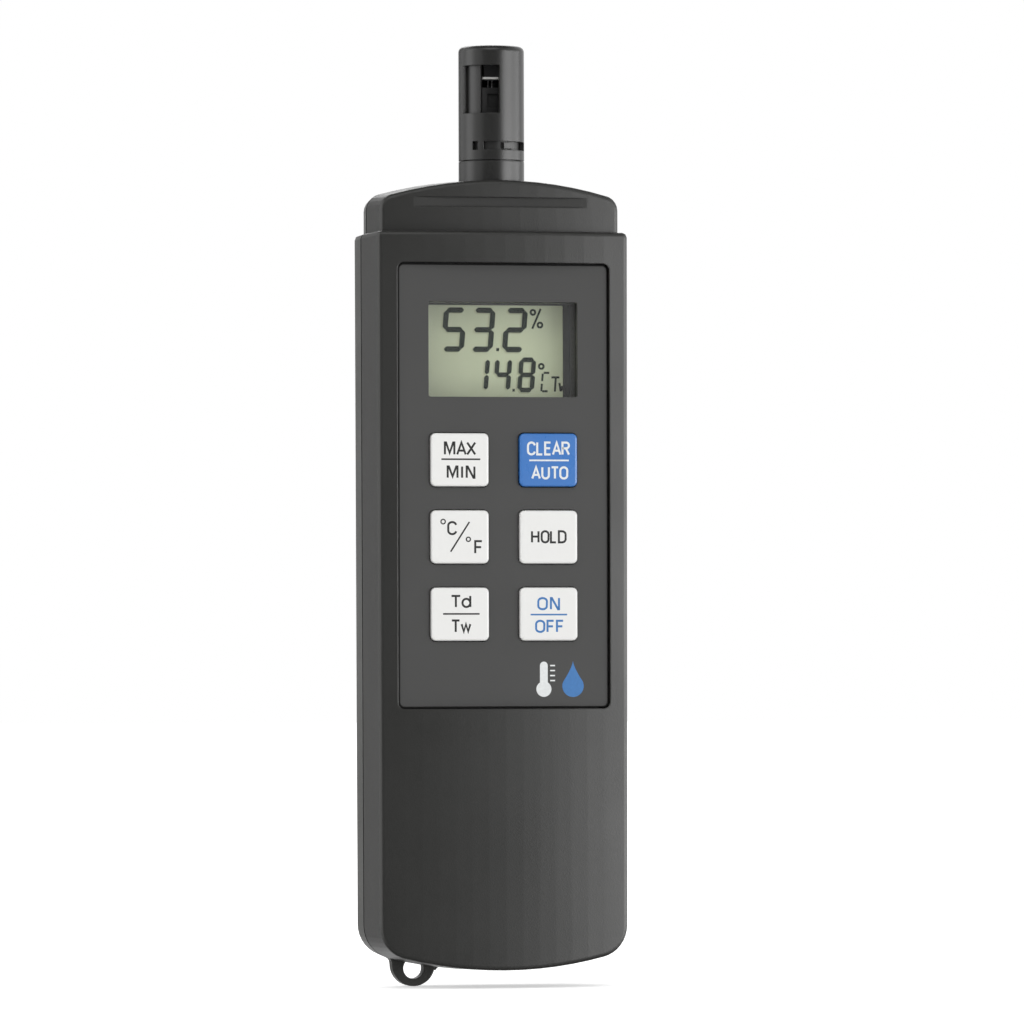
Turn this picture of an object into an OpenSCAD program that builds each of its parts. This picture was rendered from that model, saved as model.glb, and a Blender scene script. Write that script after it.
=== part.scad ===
// Hand-held digital thermo-hygrometer with a turning sensor sleeve.
// Upright: the probe points to +Z, the display faces -Y, and +X is right when facing the display.
// The origin is on the probe's axis, at the height where a hand holds the lower body.

/* [Case] */
// Width of the front face at the shoulder
case_w = 51.4; // [48:0.2:62]
// How much narrower each side of the front face is at the bottom
side_taper = 0.3; // [0:0.1:1]
// Depth from the crest of the front face to the back
case_d = 24.5; // [23.5:0.5:32]
// Height from the bottom to the shoulder
body_h = 148; // [144:1:180]
// Height of the cap above the shoulder, on the centre line
cap_h = 10.4; // [9:0.2:13]
// Wall of both shells
wall = 2; // [1.6:0.1:2.4]
// Depth of the front shell's side, from the front edge to the parting line
front_side_d = 13.9; // [12:0.1:17]
// Spread of the sides from the front edge to the parting line, from the draft
front_draft = 0.4; // [0.2:0.05:1]
// Draw-in of the sides from the parting line to the back
rear_draft = 0.4; // [0.1:0.05:0.6]
// Radius of the crowned front face
face_r = 200; // [120:5:400]
// Radius of the bottom corners
corner_r = 6.5; // [4:0.5:9]
// Radius of the bottom edge's shallow arc
base_arc_r = 85; // [70:5:200]
// Fillet of the front edge
front_fillet = 0.8; // [0.4:0.1:1.2]
// Fillet of the back edge
rear_fillet = 1.5; // [0.8:0.1:1.8]
// Height of the lip with which the rear shell locates the front shell
lip_h = 1; // [0.6:0.1:1.6]
// Width of the groove that shows along the parting line
part_groove_w = 0.3; // [0.1:0.05:0.4]
// Depth of that groove
part_groove_d = 0.25; // [0.1:0.05:0.4]

/* [Cap] */
// How far the cap stands in from the sides
cap_inset = 1.2; // [1:0.1:2.5]
// How far the cap stands in from the front and the back
cap_step = 3; // [2:0.1:3.2]
// Radius of the cap's top arc
cap_arc_r = 85; // [70:5:200]
// Radius of the cap's upper corners
cap_corner_r = 3; // [2:0.5:5]
// Height of the flat band cut across the cap's front
band_h = 1.9; // [1:0.1:3]
// Depth of that band on the centre line
band_d = 0.8; // [0.3:0.1:0.9]
// Height of the band above the shoulder
band_rise = 5; // [4.6:0.1:6]

/* [Faceplate] */
// Width of the faceplate
plate_w = 43.1; // [42:0.1:46]
// Height of the faceplate
plate_h = 88.7; // [86:0.1:92]
// Thickness of the faceplate
plate_t = 1; // [0.8:0.1:1.2]
// Corner radius of the faceplate
plate_r = 1.2; // [0.6:0.1:2]
// Bevel on the faceplate's edge
plate_bevel = 0.3; // [0.1:0.05:0.4]
// Gap round the faceplate
plate_gap = 0.2; // [0.1:0.05:0.3]
// Distance of the faceplate below the shoulder
plate_drop = 6.5; // [5:0.1:9]
// Depth of the faceplate's front behind the crest
plate_sink = 1.9; // [1.7:0.1:2.5]
// Thickness of the shell behind the faceplate
bed_t = 1.6; // [1.4:0.1:1.8]

/* [Display] */
// Width of the display opening
window_w = 30.6; // [28:0.1:32]
// Height of the display opening
window_h = 19; // [17:0.1:20]
// Distance of the opening's centre below the faceplate's top edge
window_drop = 17.1; // [16:0.1:19]
// Thickness of the clear window
lens_t = 1; // [0.8:0.1:1]
// Depth of the display glass behind the faceplate's front
glass_depth = 7; // [6.2:0.1:7.6]
// Thickness of each of the two glass sheets
glass_t = 1; // [0.7:0.1:1.1]
// Width of the area seen inside the display frame
view_w = 27.8; // [26:0.1:28.4]
// Height of the area seen inside the display frame
view_h = 18.6; // [16:0.1:18.6]

/* [Keys] */
// Width of a key
key_w = 11.8; // [10:0.1:12.6]
// Height of a key
key_h = 10.6; // [9:0.1:11.6]
// Corner radius of a key
key_r = 1; // [0.6:0.1:2]
// Rounding of a key's front edge
key_edge = 0.4; // [0.1:0.05:0.5]
// Distance between the two columns
key_pitch_x = 18.2; // [17:0.1:18.6]
// Distance between the rows
key_pitch_z = 15.4; // [14.6:0.1:15.8]
// Distance of the top row's centre below the faceplate's top edge
key_drop = 39.2; // [38.6:0.1:40]
// How far a key stands proud of the faceplate
key_proud = 1; // [0.8:0.1:1.4]
// How far a key travels
key_travel = 0.8; // [0.5:0.1:1]
// Gap round a key
key_gap = 0.2; // [0.15:0.05:0.3]

/* [Probe] */
// Radius of the sensor sleeve and the collar
sleeve_r = 6.6; // [6:0.1:7]
// Wall of the sensor sleeve
sleeve_wall = 0.9; // [0.8:0.05:1.1]
// Height of the seam between collar and sleeve above the cap's top
collar_h = 4; // [3:0.1:6]
// Length of the sleeve
sleeve_l = 23; // [22:0.5:32]
// Wall of the inner tube
tube_wall = 0.95; // [0.8:0.05:1.1]
// Height of the sensor window
port_h = 9.6; // [8:0.1:11]
// Angle that the sleeve's window spans
port_angle = 74; // [60:1:80]
// Turn of the sleeve's window from straight ahead, as it stands here
port_turn = -35.3; // [-37:0.1:0]
// Distance of the window's upper edge below the sleeve's top
port_drop = 4; // [3.8:0.1:6]

/* [Battery] */
// Radius of a cell
cell_r = 5.25; // [5:0.05:5.3]
// Length of a cell, with its nub
cell_l = 44.5; // [44:0.1:44.5]
// Half the width of the battery cover
cover_half_w = 13; // [12.8:0.1:13.2]
// Thickness of the battery cover
cover_t = 1.8; // [1.6:0.1:1.9]

/* [Lanyard eye] */
// Radius of the eye's hole
eye_hole_r = 2.1; // [1.8:0.1:2.3]
// Outer radius of the eye
eye_r = 4.4; // [4:0.1:4.8]
// Thickness of the eye
eye_t = 2.6; // [2:0.1:3.2]
// Place of the eye from the centre line
eye_x = -15.1; // [-16.5:0.1:-15]

/* [Hidden] */
$fn = 48;

// Colours
shell_black = [0.16, 0.16, 0.16];
rear_black = [0.2, 0.2, 0.19];
key_white = [0.9, 0.9, 0.88];
key_blue = [0.2, 0.45, 0.78];
steel = [0.7, 0.7, 0.7];
nickel = [0.78, 0.78, 0.75];
board_green = [0.08, 0.33, 0.18];
deep_black = [0.09, 0.09, 0.09];

// Allowances that hold everywhere
seat_gap = 0.1;
slide_gap = 0.15;
pilot_gap = 0.05;
cut = 1;
fuse = 0.01;

// Heights below are measured from the bottom of the case. The origin is at the grip.
grip_z = 45;
case_top = body_h + cap_h;

// Planes across the depth. The probe's axis is at y = 0.
cap_skin = 2.1;
axis_depth = sleeve_r + cap_skin + cap_step;
crest_y = -axis_depth;
rear_y = case_d - axis_depth;
edge_y = face_y(case_w / 2, crest_y);
part_y = edge_y + front_side_d;
cap_front_y = crest_y + cap_step;
cap_rear_y = rear_y - cap_step;
plate_y = crest_y + plate_sink;
bed_y = plate_y + plate_t;
bed_back_y = bed_y + bed_t;
glass_y = plate_y + glass_depth;
display_stack = 4.4;
board_y = glass_y + display_stack;
board_t = 1.6;
board_back_y = board_y + board_t;

// How far the cap's form runs down into the body, and the draft of its sides
cap_root = 6;
cap_draft = 0.5;

// Heights of the faceplate and of what it shows
plate_top = body_h - plate_drop;
plate_z = plate_top - plate_h / 2;
window_z = plate_top - window_drop;
view_z = window_z - 0.2;
key_z = plate_top - key_drop;
key_x = key_pitch_x / 2;

// Battery bay
bay_side_gap = 0.7;
bay_half_w = 2 * cell_r + bay_side_gap;
bay_bottom = wall + 2.9;
bay_top = bay_bottom + cell_l + 5.5;
bay_wall = 1.2;
cover_h = bay_top + 0.8;
cover_y = rear_y - cover_t;
cell_y = cover_y - 0.4 - cell_r;
cell_x = cell_r + bay_side_gap / 2;
bay_floor_y = cell_y - cell_r - 0.2;
contact_t = 0.4;

// Board outline and its screws
board_bottom = bay_top + bay_wall + 1;
board_top = body_h - wall;
board_half_w = case_w / 2 - side_taper - wall - 2;
board_screw_x = board_half_w - 2.7;
board_screw_z = [board_bottom + 4, board_top - 4.6];
board_screw_r = 0.95;
board_screw_l = 6;
post_r = 2.3;

// Case screws, upper and lower pair
screw_r = 1.25;
screw_head_r = 2.3;
screw_head_h = 2;
screw_l = 11;
head_y = part_y + wall;
upper_screw = [case_w / 2 - 10.3, body_h + 2.4];
lower_screw = [case_w / 2 - 5.8, 16];
boss_r = 2.9;
rear_boss_r = 3.5;

// Probe
bore_r = sleeve_r - sleeve_wall;
tube_r = bore_r - 0.08;
tube_in_r = tube_r - tube_wall;
sleeve_bottom = case_top + collar_h + 0.2;
probe_top = sleeve_bottom + sleeve_l;
port_top = probe_top - port_drop;
port_bottom = port_top - port_h;
tube_bottom = body_h + 2;
tube_top = probe_top - 1.7;

// Depth of a crowned surface with its crest at y0, at a distance x from the centre line
function face_y(x, y0) = y0 + face_r - sqrt(face_r * face_r - x * x);

// Points on an arc, from angle a0 to a1
function arc(cx, cz, r, a0, a1, n) =
    [for (i = [0 : n]) let (a = a0 + (a1 - a0) * i / n) [cx + r * cos(a), cz + r * sin(a)]];

// Where a corner of radius r meets an arc of radius big_r that crosses the centre line at the edge
function corner_rise(half_w, r, big_r) = big_r - sqrt(pow(big_r - r, 2) - pow(half_w - r, 2));
function corner_lean(half_w, r, big_r) = asin((half_w - r) / (big_r - r));

// Outline of the body, grown by g from the front edge's outline
function body_outline(g) =
    let (w0 = case_w / 2 - side_taper + g, w1 = case_w / 2 + g, r = max(corner_r + g, 1))
    let (big = base_arc_r + g, low = front_draft - g, lean = corner_lean(w0, r, big))
    let (cz = low + corner_rise(w0, r, big), top = body_h + min(g, 0), tr = max(1 + min(g, 0), 0.2))
    concat(
        arc(0, low + big, big, -90 - lean, -90 + lean, 12),
        arc(w0 - r, cz, r, -90 + lean + 8, 0, 7),
        arc(w1 - tr, top - tr, tr, 0, 90, 2),
        [for (i = [1 : 11]) [(w1 - tr) * (1 - i / 6), top]],
        arc(-w1 + tr, top - tr, tr, 90, 180, 2),
        arc(-w0 + r, cz, r, 180, 270 - lean - 8, 7));

// Outline of the cap, which runs down into the body, grown by g
function cap_outline(g) =
    let (w = case_w / 2 - cap_inset + g, r = max(cap_corner_r + g, 0.8), big = cap_arc_r + g)
    let (lean = corner_lean(w, r, big), cz = case_top + g - corner_rise(w, r, big))
    concat(
        [for (i = [0 : 12]) [w * (i / 6 - 1), body_h - cap_root]],
        arc(w - r, cz, r, 0, 90 - lean - 10, 4),
        arc(0, case_top + g - big, big, 90 - lean, 90 + lean, 12),
        arc(-w + r, cz, r, 90 + lean + 10, 180, 4));

// Height of the case's bottom edge at the parting line, at a distance x from the centre line
function bottom_z(x) = let (big = base_arc_r + front_draft) big - sqrt(big * big - x * x);

// A closed convex form through rings of points
module through_rings(rings) {
    points = [for (ring = rings) each ring];
    hull() polyhedron(points = points, faces = [[for (i = [0 : len(points) - 1]) i]]);
}

// Rings of an outline: on the crowned face, and at a plane
function crowned(outline, y0) = [for (p = outline) [p[0], face_y(p[0], y0), p[1]]];
function level(outline, y) = [for (p = outline) [p[0], y, p[1]]];

// Steps round a quarter fillet
fillet_steps = [0 : 30 : 90];

module body_front(inset) {
    f = max(front_fillet - inset, 0);
    through_rings(concat(
        [for (a = fillet_steps)
            crowned(body_outline(-inset - f * (1 - sin(a))), crest_y + inset + f * (1 - cos(a)))],
        [level(body_outline(front_draft - inset), part_y)]));
}

module body_rear(inset) {
    f = max(rear_fillet - inset, 0);
    g = front_draft - rear_draft - inset;
    through_rings(concat(
        [level(body_outline(front_draft - inset), part_y)],
        [for (a = fillet_steps)
            level(body_outline(g - f * (1 - cos(a))), rear_y - inset - f * (1 - sin(a)))]));
}

module cap_front(inset) {
    f = max(front_fillet - inset, 0);
    through_rings(concat(
        [for (a = fillet_steps)
            crowned(cap_outline(-inset - f * (1 - sin(a))), cap_front_y + inset + f * (1 - cos(a)))],
        [level(cap_outline(cap_draft - inset), part_y)]));
}

module cap_rear(inset) {
    f = max(rear_fillet - inset, 0);
    through_rings(concat(
        [level(cap_outline(cap_draft - inset), part_y)],
        [for (a = fillet_steps)
            level(cap_outline(-inset - f * (1 - cos(a))), cap_rear_y - inset - f * (1 - sin(a)))]));
}

// The case's outline at the parting line, inset from the outside
module joint_face(inset) {
    polygon(body_outline(front_draft - inset));
    polygon(cap_outline(cap_draft - inset));
}

// A ring that follows the parting line, between two insets
module joint_ring(outer, inner, y0, y1) {
    translate([0, y1, 0]) rotate([90, 0, 0]) linear_extrude(y1 - y0) difference() {
        joint_face(outer);
        joint_face(inner);
    }
}

// A round bar along +Y
module bar_y(x, z, r, y0, y1) {
    translate([x, y0, z]) rotate([-90, 0, 0]) cylinder(r = r, h = y1 - y0);
}

// A flat plate in the X-Z plane with rounded corners
module rounded_plate(w, h, r, y0, y1) {
    translate([0, y1, 0]) rotate([90, 0, 0]) linear_extrude(y1 - y0) {
        square([w - 2 * r, h], center = true);
        square([w, h - 2 * r], center = true);
        for (x = [-1, 1], z = [-1, 1])
            translate([x * (w / 2 - r), z * (h / 2 - r)]) circle(r = r);
    }
}

// A block given by its limits
module block(x0, x1, y0, y1, z0, z1) {
    translate([x0, y0, z0]) cube([x1 - x0, y1 - y0, z1 - z0]);
}

// A sector of a round bar about the probe's axis, between two angles from straight ahead
module sector(z0, z1, from, to) {
    n = 6;
    reach = (sleeve_r + 1) / cos((to - from) / n / 2);
    translate([0, 0, z0]) linear_extrude(z1 - z0)
        polygon(concat([[0, 0]],
            [for (i = [0 : n]) let (a = from + (to - from) * i / n) [reach * sin(a), -reach * cos(a)]]));
}

module at_keys() {
    for (x = [-1, 1], row = [0 : 2])
        translate([x * key_x, 0, key_z - row * key_pitch_z]) children();
}

module at_board_screws() {
    for (x = [-1, 1], z = board_screw_z)
        translate([x * board_screw_x, 0, z]) children();
}

module at_case_screws() {
    for (x = [-1, 1], place = [upper_screw, lower_screw])
        translate([x * place[0], 0, place[1]]) children();
}

module both_sides() {
    for (s = [0, 1])
        mirror([s, 0, 0]) children();
}

module to_grip() {
    translate([0, 0, -grip_z]) children();
}

module key_holes(y0, y1) {
    at_keys() rounded_plate(key_w + 2 * key_gap, key_h + 2 * key_gap, key_r + key_gap, y0, y1);
}

// Display stack, from the window to the board
window_r = 0.4;
lens_margin = 1.2;
lens_r = 0.5;
frame_half_w = window_w / 2 + 2;
frame_half_h = window_h / 2 + 3.9;
frame_wall = 0.8;
frame_y = glass_y - 0.5;
glass_half_w = frame_half_w - frame_wall - seat_gap;
glass_half_h = frame_half_h - frame_wall - seat_gap;
// Strip of the front sheet that the rear sheet leaves free for the connectors
ledge = 2.5;

// Front shell
bed_side = 1.3;
bed_end = 2;
well_wall = 1.2;
rib_z = body_h + 3;
rib_t = 1.8;
notch_half_w = sleeve_r + 1.5;
notch_z = case_top - wall - 1;
passage_r = sleeve_r + 0.05;

module front_inside() {
    intersection() {
        union() {
            // bed behind the faceplate
            translate([0, 0, plate_z])
                rounded_plate(plate_w + 2 * bed_side, plate_h + 2 * bed_end, 2, bed_y - wall, bed_back_y);
            // well round the display
            translate([0, 0, window_z])
                rounded_plate(window_w + 2 * well_wall, window_h + 2 * well_wall, 1, bed_y, frame_y - seat_gap);
            // posts for the board
            at_board_screws() bar_y(0, 0, post_r, crest_y, board_y);
            // bosses for the case screws
            at_case_screws() bar_y(0, 0, boss_r, crest_y, part_y);
            // rib under the collar's flange, between the upper bosses
            block(-upper_screw[0], upper_screw[0], crest_y, part_y, rib_z, rib_z + rib_t);
        }
        union() {
            body_front(wall / 2);
            cap_front(wall / 2);
        }
    }
}

module probe_passage() {
    translate([0, 0, tube_bottom - cut]) cylinder(r = passage_r, h = case_top - tube_bottom + 2 * cut);
}

module front_shell() {
    color(shell_black) to_grip() difference() {
        union() {
            difference() {
                union() {
                    body_front(0);
                    cap_front(0);
                }
                body_front(wall);
                cap_front(wall);
            }
            front_inside();
        }
        // groove that shows along the parting line
        joint_ring(-cut, part_groove_d, part_y - part_groove_w, part_y + cut);
        // step that the rear shell's lip stands in
        joint_ring(wall / 2, wall + seat_gap, part_y - lip_h - seat_gap, part_y + cut);
        // recess for the faceplate
        translate([0, 0, plate_z])
            rounded_plate(plate_w + 2 * plate_gap, plate_h + 2 * plate_gap, plate_r + plate_gap,
                crest_y - cut, bed_y);
        // seat of the window, and the well that it covers
        translate([0, 0, window_z]) {
            rounded_plate(window_w + 2 * (lens_margin + seat_gap), window_h + 2 * (lens_margin + seat_gap),
                lens_r + seat_gap, bed_y - cut, bed_y + lens_t + seat_gap / 2);
            rounded_plate(window_w, window_h, window_r, bed_y - cut, glass_y);
        }
        key_holes(bed_y - cut, bed_back_y + cut);
        // band across the cap
        block(-case_w, case_w, cap_front_y - cut, cap_front_y + band_d,
            body_h + band_rise, body_h + band_rise + band_h);
        // notch that the probe drops into from behind
        probe_passage();
        block(-notch_half_w, notch_half_w, 0, part_y + cut, notch_z, case_top + cut);
        block(-tube_r - seat_gap, tube_r + seat_gap, 0, part_y + cut, rib_z - cut, rib_z + rib_t + cut);
        // pilot holes of the screws
        at_case_screws() bar_y(0, 0, screw_r + pilot_gap, head_y - screw_l - 0.5, part_y + cut);
        at_board_screws()
            bar_y(0, 0, board_screw_r + pilot_gap, board_back_y - board_screw_l - 0.5, board_y + cut);
    }
}

// Cover's hooks, and the rails and grooves that they slide in
hook_out = 1;
hook_root = 1;
hook_l = 6;
hook_t = 0.85;
hook_z = [9, 26, 43];
hook_y = cover_y - 1.05;
groove_y = hook_y - slide_gap;
rail_out = 2.4;

module battery_bay() {
    block(-bay_half_w - bay_wall, bay_half_w + bay_wall, bay_floor_y - bay_wall, rear_y - cut,
        bay_bottom - bay_wall, bay_top + bay_wall);
    both_sides()
        block(bay_half_w, cover_half_w + rail_out, groove_y - bay_wall, rear_y - cut, 0, bay_top + bay_wall);
}

// Lanyard eye. The passage behind it is wider, so that only the eye itself holds the strap.
eye_y = part_y + 2;
eye_z = 1.2;
eye_hole_z = 0.4;
eye_web = 1;
eye_room = 0.4;
// Flare beside the eye: share of the web's width, and height from the bottom edge there
eye_flare = [[0, 0.15], [0.5, -0.1], [0.9, -0.6]];

module lanyard_eye() {
    bar_y(eye_x, eye_z, eye_r, eye_y, eye_y + eye_t);
    // web that flares out into the bottom on either side
    left = eye_x - eye_r - eye_web;
    right = eye_x + eye_r + eye_web;
    web_top = bottom_z(left) + eye_web;
    translate([0, eye_y + eye_t, 0]) rotate([90, 0, 0]) linear_extrude(eye_t)
        polygon(concat(
            [[left, web_top]], [for (p = eye_flare) [left + p[0] * eye_web, bottom_z(left) + p[1]]],
            [[eye_x - eye_r, eye_z], [eye_x, eye_hole_z], [eye_x + eye_r, eye_z]],
            [for (i = [len(eye_flare) - 1 : -1 : 0])
                [right - eye_flare[i][0] * eye_web, bottom_z(right) + eye_flare[i][1]]],
            [[right, web_top]]));
}

module eye_openings() {
    bar_y(eye_x, eye_hole_z, eye_hole_r, eye_y - cut / 2, eye_y + eye_t + cut / 2);
    bar_y(eye_x, eye_hole_z, eye_hole_r + eye_room, eye_y - eye_room, eye_y);
    bar_y(eye_x, eye_hole_z, eye_hole_r + eye_room, eye_y + eye_t, rear_y + cut);
}

module rear_inside() {
    intersection() {
        union() {
            battery_bay();
            at_case_screws() bar_y(0, 0, rear_boss_r, part_y, rear_y);
            // wall round the passage of the lanyard eye
            bar_y(eye_x, eye_hole_z, eye_hole_r + eye_room + bay_wall, part_y, rear_y);
        }
        union() {
            block(-case_w / 2, case_w / 2, crest_y, part_y + cut, front_draft + wall, bay_top + bay_wall);
            body_rear(wall / 2);
            cap_rear(wall / 2);
        }
    }
}

// Tongue of the rear shell that closes the front shell's notch behind the probe
module probe_tongue() {
    intersection() {
        cap_front(0);
        block(-notch_half_w + seat_gap, notch_half_w - seat_gap, seat_gap, part_y + cut,
            notch_z + seat_gap, case_top + cut);
    }
}

module rear_shell() {
    color(rear_black) to_grip() difference() {
        union() {
            difference() {
                union() {
                    body_rear(0);
                    cap_rear(0);
                    lanyard_eye();
                }
                body_rear(wall);
                cap_rear(wall);
            }
            rear_inside();
            probe_tongue();
            joint_ring(wall / 2 + seat_gap, wall, part_y - lip_h, part_y + lip_h / 2);
        }
        // inside of the battery bay, open to the back
        block(-bay_half_w, bay_half_w, bay_floor_y, rear_y + cut, bay_bottom, bay_top);
        // opening for the cover, and grooves for its hooks, both open at the bottom
        block(-cover_half_w - slide_gap, cover_half_w + slide_gap, cover_y, rear_y + cut, -5, cover_h + 0.2);
        block(-cover_half_w - hook_out - 0.25, cover_half_w + hook_out + 0.25, groove_y, cover_y + pilot_gap,
            -5, cover_h - 1);
        // slots for the contact tails
        both_sides()
            block(cell_x - tail_half_w - 0.2, cell_x + tail_half_w + 0.2, board_back_y - seat_gap,
                max(board_back_y + contact_t, bay_floor_y) + seat_gap, bay_top - cut, bay_top + bay_wall + cut);
        eye_openings();
        probe_passage();
        at_case_screws() {
            bar_y(0, 0, screw_r + 0.2, part_y - cut, rear_y);
            bar_y(0, 0, screw_head_r + 0.25, head_y, rear_y + cut);
        }
    }
}

// Battery cover, with hooks along both sides and grip grooves near its upper end
grip_count = 6;
grip_pitch = 1.8;
grip_r = 0.8;
grip_w = 14;
grip_drop = 6;

module battery_cover() {
    color(rear_black) to_grip() {
        difference() {
            intersection() {
                body_rear(0);
                block(-cover_half_w, cover_half_w, cover_y, rear_y + cut, -cut, cover_h);
            }
            for (i = [0 : grip_count - 1])
                translate([-grip_w / 2, rear_y + 0.3, cover_h - grip_drop - grip_pitch * i])
                    rotate([0, 90, 0]) cylinder(r = grip_r, h = grip_w);
        }
        both_sides() for (z = hook_z) {
            x = cover_half_w - seat_gap;
            block(x - hook_root, x, hook_y, cover_y + 0.3, z, z + hook_l);
            block(x - hook_root, cover_half_w + hook_out, hook_y, hook_y + hook_t, z, z + hook_l);
        }
    }
}

module faceplate() {
    color([0.27, 0.27, 0.27]) to_grip() difference() {
        translate([0, 0, plate_z]) hull() {
            rounded_plate(plate_w, plate_h, plate_r, plate_y + plate_bevel, bed_y);
            rounded_plate(plate_w - 2 * plate_bevel, plate_h - 2 * plate_bevel, plate_r - plate_bevel,
                plate_y, plate_y + plate_bevel);
        }
        translate([0, 0, window_z]) rounded_plate(window_w, window_h, window_r, plate_y - cut, bed_y + cut);
        key_holes(plate_y - cut, bed_y + cut);
    }
}

module display_window() {
    color([0.8, 0.85, 0.82, 0.35]) to_grip() translate([0, 0, window_z])
        rounded_plate(window_w + 2 * lens_margin, window_h + 2 * lens_margin, lens_r, bed_y, bed_y + lens_t);
}

module lcd_frame() {
    color(deep_black) to_grip() translate([0, 0, view_z]) difference() {
        rounded_plate(2 * frame_half_w, 2 * frame_half_h, 1, frame_y, board_y);
        rounded_plate(2 * (frame_half_w - frame_wall), 2 * (frame_half_h - frame_wall), 0.2,
            glass_y, board_y + cut);
        rounded_plate(view_w, view_h, 0.3, frame_y - cut, glass_y + cut);
    }
}

module lcd_glass() {
    color([0.66, 0.69, 0.58]) to_grip() translate([0, 0, view_z]) {
        block(-glass_half_w, glass_half_w, glass_y, glass_y + glass_t, -glass_half_h, glass_half_h);
        block(-glass_half_w, glass_half_w, glass_y + glass_t - fuse, glass_y + 2 * glass_t,
            ledge - glass_half_h, glass_half_h - ledge);
    }
}

module lcd_reflector() {
    foil_t = 0.2;
    foil_y = glass_y + 2 * glass_t;
    foil_half_w = glass_half_w - 1;
    foil_half_h = glass_half_h - ledge - 0.4;
    color([0.75, 0.76, 0.7]) to_grip() translate([0, 0, view_z])
        block(-foil_half_w, foil_half_w, foil_y, foil_y + foil_t, -foil_half_h, foil_half_h);
}

module zebra_strips() {
    half_w = glass_half_w - 1.5;
    color([0.75, 0.45, 0.5]) to_grip() for (z = [-1, 1])
        translate([0, 0, view_z + z * (glass_half_h - ledge / 2)])
            block(-half_w, half_w, glass_y + glass_t, board_y, seat_gap - ledge / 2, ledge / 2 - seat_gap);
}

module main_board() {
    stem_half_w = 5;
    color(board_green) to_grip() difference() {
        block(-board_half_w, board_half_w, board_y, board_back_y, board_bottom, board_top);
        at_board_screws() bar_y(0, 0, board_screw_r + 0.2, board_y - cut, board_back_y + cut);
        // room for the ribbon to the probe
        block(-stem_half_w, stem_half_w, board_y - cut, board_back_y + cut, board_top - 1, board_top + cut);
    }
}

// Silicone mat: a sheet with one hollow dome for each key, and a carbon pill in each dome
mat_t = 1;
mat_half_w = board_screw_x - post_r - 0.3;
mat_margin = 7.6;
dome_y = board_y - 2.4;
pill_t = 0.4;

dome_base_r = 4.2;
dome_top_r = 2.4;
dome_t = 0.8;
pill_r = 1.5;

module keypad_mat() {
    color([0.55, 0.55, 0.52]) to_grip() difference() {
        union() {
            block(-mat_half_w, mat_half_w, board_y - mat_t, board_y,
                key_z - 2 * key_pitch_z - mat_margin, key_z + mat_margin);
            at_keys() translate([0, board_y - mat_t, 0]) rotate([90, 0, 0])
                cylinder(r1 = dome_base_r, r2 = dome_top_r, h = board_y - mat_t - dome_y);
        }
        at_keys() translate([0, board_y, 0]) rotate([90, 0, 0])
            cylinder(r1 = dome_base_r - dome_t, r2 = pill_r + 2 * seat_gap, h = key_travel + pill_t);
    }
}

module contact_pills() {
    color(deep_black) to_grip() at_keys()
        bar_y(0, 0, pill_r, board_y - key_travel - pill_t, board_y - key_travel);
}

// One key: a hollow cap with rounded front edges, a flange behind the bed and a plunger on its dome
key_flange = 0.7;
key_flange_t = 0.8;
key_wall = 1.2;
key_roof = 1.4;
plunger_r = 1.9;

module key_cap(column, row, shade) {
    front = plate_y - key_proud;
    flange_y = bed_back_y + seat_gap;
    color(shade) to_grip() translate([column * key_x, 0, key_z - row * key_pitch_z]) {
        difference() {
            union() {
                hull() for (a = fillet_steps) {
                    inset = key_edge * (1 - sin(a));
                    rounded_plate(key_w - 2 * inset, key_h - 2 * inset, key_r - inset,
                        front + key_edge * (1 - cos(a)), flange_y + key_flange_t / 2, $fn = 24);
                }
                rounded_plate(key_w + 2 * key_flange, key_h + 2 * key_flange, key_r,
                    flange_y, flange_y + key_flange_t, $fn = 24);
            }
            rounded_plate(key_w - 2 * key_wall, key_h - 2 * key_wall, 0.6,
                front + key_roof, flange_y + 2, $fn = 24);
        }
        bar_y(0, 0, plunger_r, front + key_roof / 2, dome_y, $fn = 24);
    }
}

module key_max_min() { key_cap(-1, 0, key_white); }
module key_clear_auto() { key_cap(1, 0, key_blue); }
module key_units() { key_cap(-1, 1, key_white); }
module key_hold() { key_cap(1, 1, key_white); }
module key_dew_wet() { key_cap(-1, 2, key_white); }
module key_power() { key_cap(1, 2, key_white); }

// Parts on the back of the board
chip_z = key_z - 4;
chip_half = 6;
chip_t = 1.5;
lead_pitch = 0.7;
lead_half_w = 0.15;
lead_t = 0.3;
lead_x = chip_half + 0.6;
lead_half_l = 0.65;

module controller_chip() {
    color(deep_black) to_grip() translate([0, board_back_y, chip_z]) {
        block(-chip_half, chip_half, 0, chip_t, -chip_half, chip_half);
        for (i = [-7 : 7], s = [-1, 1]) {
            translate([s * lead_x, 0, i * lead_pitch])
                block(-lead_half_l, lead_half_l, 0, lead_t, -lead_half_w, lead_half_w);
            translate([i * lead_pitch, 0, s * lead_x])
                block(-lead_half_w, lead_half_w, 0, lead_t, -lead_half_l, lead_half_l);
        }
    }
}

module crystal_can() {
    can_r = 1.05;
    color(nickel) to_grip()
        translate([11.5, board_back_y + can_r, chip_z - 3]) cylinder(r = can_r, h = 6);
}

// Resistors beside the chip, ceramic capacitors above it, and two capacitor cans below
module small_components() {
    small_l = 2;
    small_w = 1.2;
    color([0.6, 0.55, 0.45]) to_grip() translate([0, board_back_y, chip_z]) {
        for (z = [-12 : 3 : 3])
            block(-15, -15 + small_l, 0, 0.6, z, z + small_w);
        for (i = [0 : 4], x = 3.4 * i - 8)
            block(x, x + small_w, 0, 0.7, 12, 12 + small_l);
        bar_y(-9, -18, 2.5, 0, 5.4);
        bar_y(9, -18, 2, 0, 4.5);
    }
}

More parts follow.
